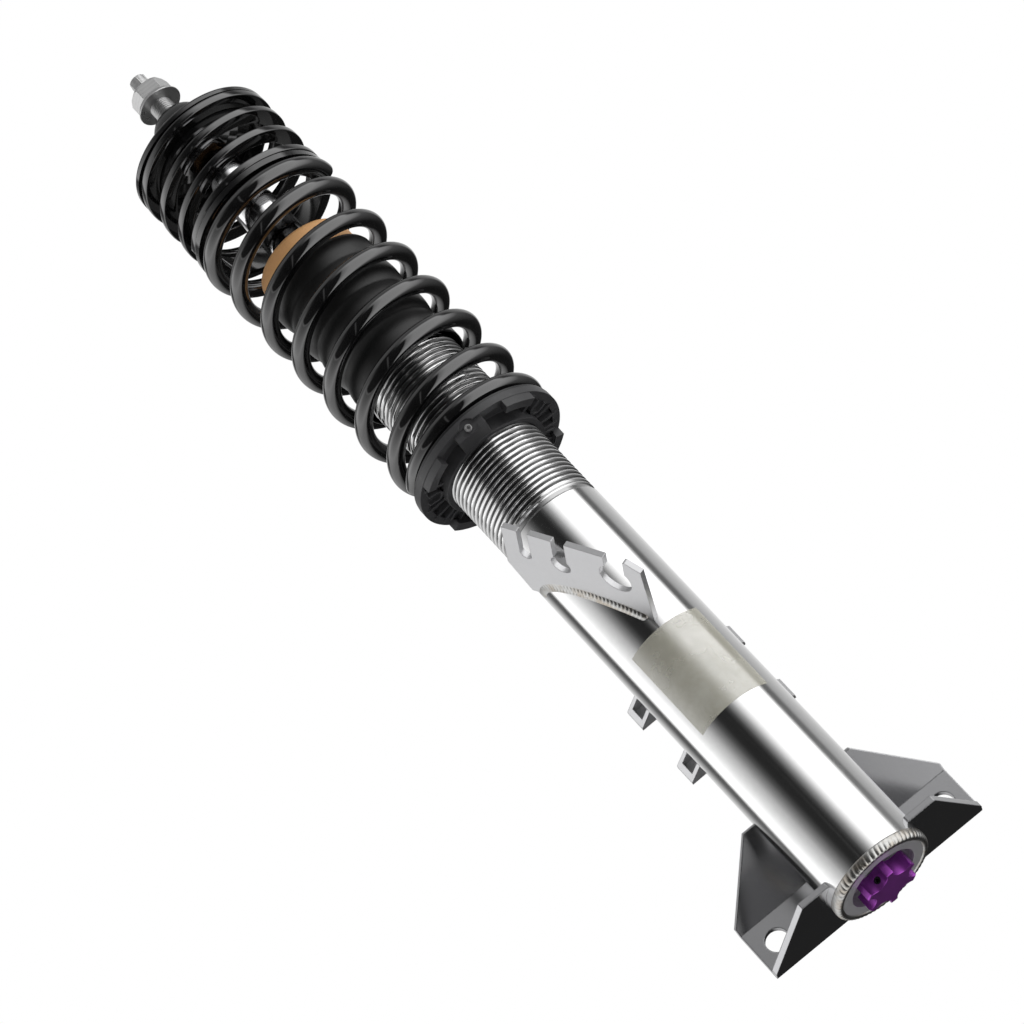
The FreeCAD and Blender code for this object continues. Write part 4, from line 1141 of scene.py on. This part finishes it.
@dataclass(frozen=True)
class Studio:
    """Two tall soft panels left and right of a dark gap, a grey room behind and a plain ceiling.

    The upper and the lower panels are (azimuth in degrees, strength) stops round the strut.
    """

    stand: CameraStand
    upper: Pairs = (
        (-180, 0.90), (-157, 0.80), (-140, 0.45), (-128, 0.14), (-117, 0.07), (-113, 0.9), (-110, 1.7),
        (-92, 1.7), (-80, 1.25), (-68, 0.95), (-55, 0.66), (-44, 0.34), (-32, 0.11), (-22, 0.03),
        (-2, 0.02), (6, 0.08), (16, 0.42), (26, 1.1), (38, 1.9), (85, 2.0), (90, 0.7), (94, 0.14),
        (104, 0.16), (112, 0.50), (130, 0.66), (157, 0.85), (180, 0.90))
    lower: Pairs = (
        (-180, 0.03), (-166, 0.03), (-152, 0.55), (-138, 1.0), (-118, 1.1), (-100, 1.6), (-84, 1.2),
        (-66, 0.7), (-57, 0.5), (-55, 0.9), (-53, 0.06), (-20, 0.02), (-8, 0.03), (-6, 0.5), (-4, 0.03),
        (24, 0.03), (28, 1.1), (40, 1.8), (84, 2.0), (98, 1.4), (112, 0.4), (130, 0.2), (150, 0.05),
        (164, 0.03), (180, 0.03))
    strongest: float = 2.0
    lower_to: float = 0.2
    upper_from: float = 0.4
    ceiling: float = 0.42
    ceiling_from: float = 0.58
    ceiling_to: float = 0.72
    floor_z: float = -0.75
    floor_half: float = 4.0
    floor_squares: int = 8
    floor_dark: Colour = (0.86, 0.86, 0.86)
    floor_light: Colour = (0.90, 0.90, 0.90)

    def world(self) -> None:
        """White to the camera, panels to everything else."""
        made = bpy.data.worlds.new("studio")
        made.use_nodes = True
        bpy.context.scene.world = made
        sheet = Sheet(made.node_tree)
        facing = sheet.node("ShaderNodeTexCoord", output="Generated")
        x, y, z = sheet.parts(facing)
        ahead = self.stand.ahead()
        side = x * ahead.y + y * (-ahead.x)
        back = x * (-ahead.x) + y * (-ahead.y)
        turn = side.angle_from(back) / (2 * math.pi) + 0.5
        high, low = (turn.ramp([((place + 180.0) / 360.0, level / self.strongest)
                                for place, level in stops]) * self.strongest
                     for stops in (self.upper, self.lower))
        share = z.rise(self.lower_to, self.upper_from)
        panels = high * share + low * (1.0 - share)
        over = z.rise(self.ceiling_from, self.ceiling_to)
        level = panels * (1.0 - over) + over * self.ceiling
        path = sheet.node("ShaderNodeLightPath", output="Is Camera Ray")
        strength = level * (1.0 - path) + path
        surface = sheet.node("ShaderNodeBackground", {}, {"Color": (1.0, 1.0, 1.0, 1.0),
                                                          "Strength": strength})
        sheet.node("ShaderNodeOutputWorld", {}, {"Surface": surface})

    def floor(self) -> None:
        """A pale floor with a soft grain, far below the strut, seen only from above."""
        mesh = bpy.data.meshes.new("floor")
        shaped = bmesh.new()
        bmesh.ops.create_grid(shaped, x_segments=self.floor_squares,
                              y_segments=self.floor_squares, size=self.floor_half)
        shaped.to_mesh(mesh)
        shaped.free()
        made = bpy.data.objects.new("floor", mesh)
        made.location = (0, 0, self.floor_z)
        bpy.context.scene.collection.objects.link(made)
        finish = bpy.data.materials.new("floor")
        finish.use_nodes = True
        sheet = Sheet(finish.node_tree)
        grain = sheet.noise(sheet.place(), scale=30.0)
        pale = sheet.node("ShaderNodeBsdfPrincipled", {}, {
            "Base Color": grain.between(self.floor_dark, self.floor_light), "Roughness": 0.9})
        clear = sheet.node("ShaderNodeBsdfTransparent")
        under = sheet.node("ShaderNodeNewGeometry", output="Backfacing")
        both = sheet.node("ShaderNodeMixShader", {}, {0: under, 1: pale, 2: clear})
        sheet.node("ShaderNodeOutputMaterial", {}, {"Surface": both})
        mesh.materials.append(finish)
        made.visible_glossy = False


def dress_kept_nodes(nodes: dict[str, bpy.types.Object]) -> None:
    """Give the nodes that stay as they are their finishes."""
    for finish, names in KEPT_NODES.items():
        shared = finish.material()
        for name in names:
            mesh = nodes[name].data
            mesh.materials.clear()
            mesh.materials.append(shared)
            LOG.info("%s: %s", name, finish.name)


def main() -> None:
    """Build the scene."""
    logging.basicConfig(level=logging.INFO, format="%(name)s: %(message)s")
    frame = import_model()
    stand = CameraStand()
    stand.build()
    studio = Studio(stand)
    studio.world()
    studio.floor()
    bpy.context.scene.view_settings.view_transform = "Standard"
    dress_kept_nodes(frame["nodes"])
    damper = Damper()
    damper.tube()
    damper.bump_stop()
    damper.boot()
    rod_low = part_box("piston_rod")[0][2] / MM - CAP_FACE_Z
    piston_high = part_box("piston")[1][2] / MM - CAP_FACE_Z
    Rod(foot=rod_low, spigot_top=piston_high).build()
    SpringStack().build()
    welds = Welds()
    welds.cap_ring()
    welds.plate_beads()
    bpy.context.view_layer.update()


if __name__ == "__main__":
    main()
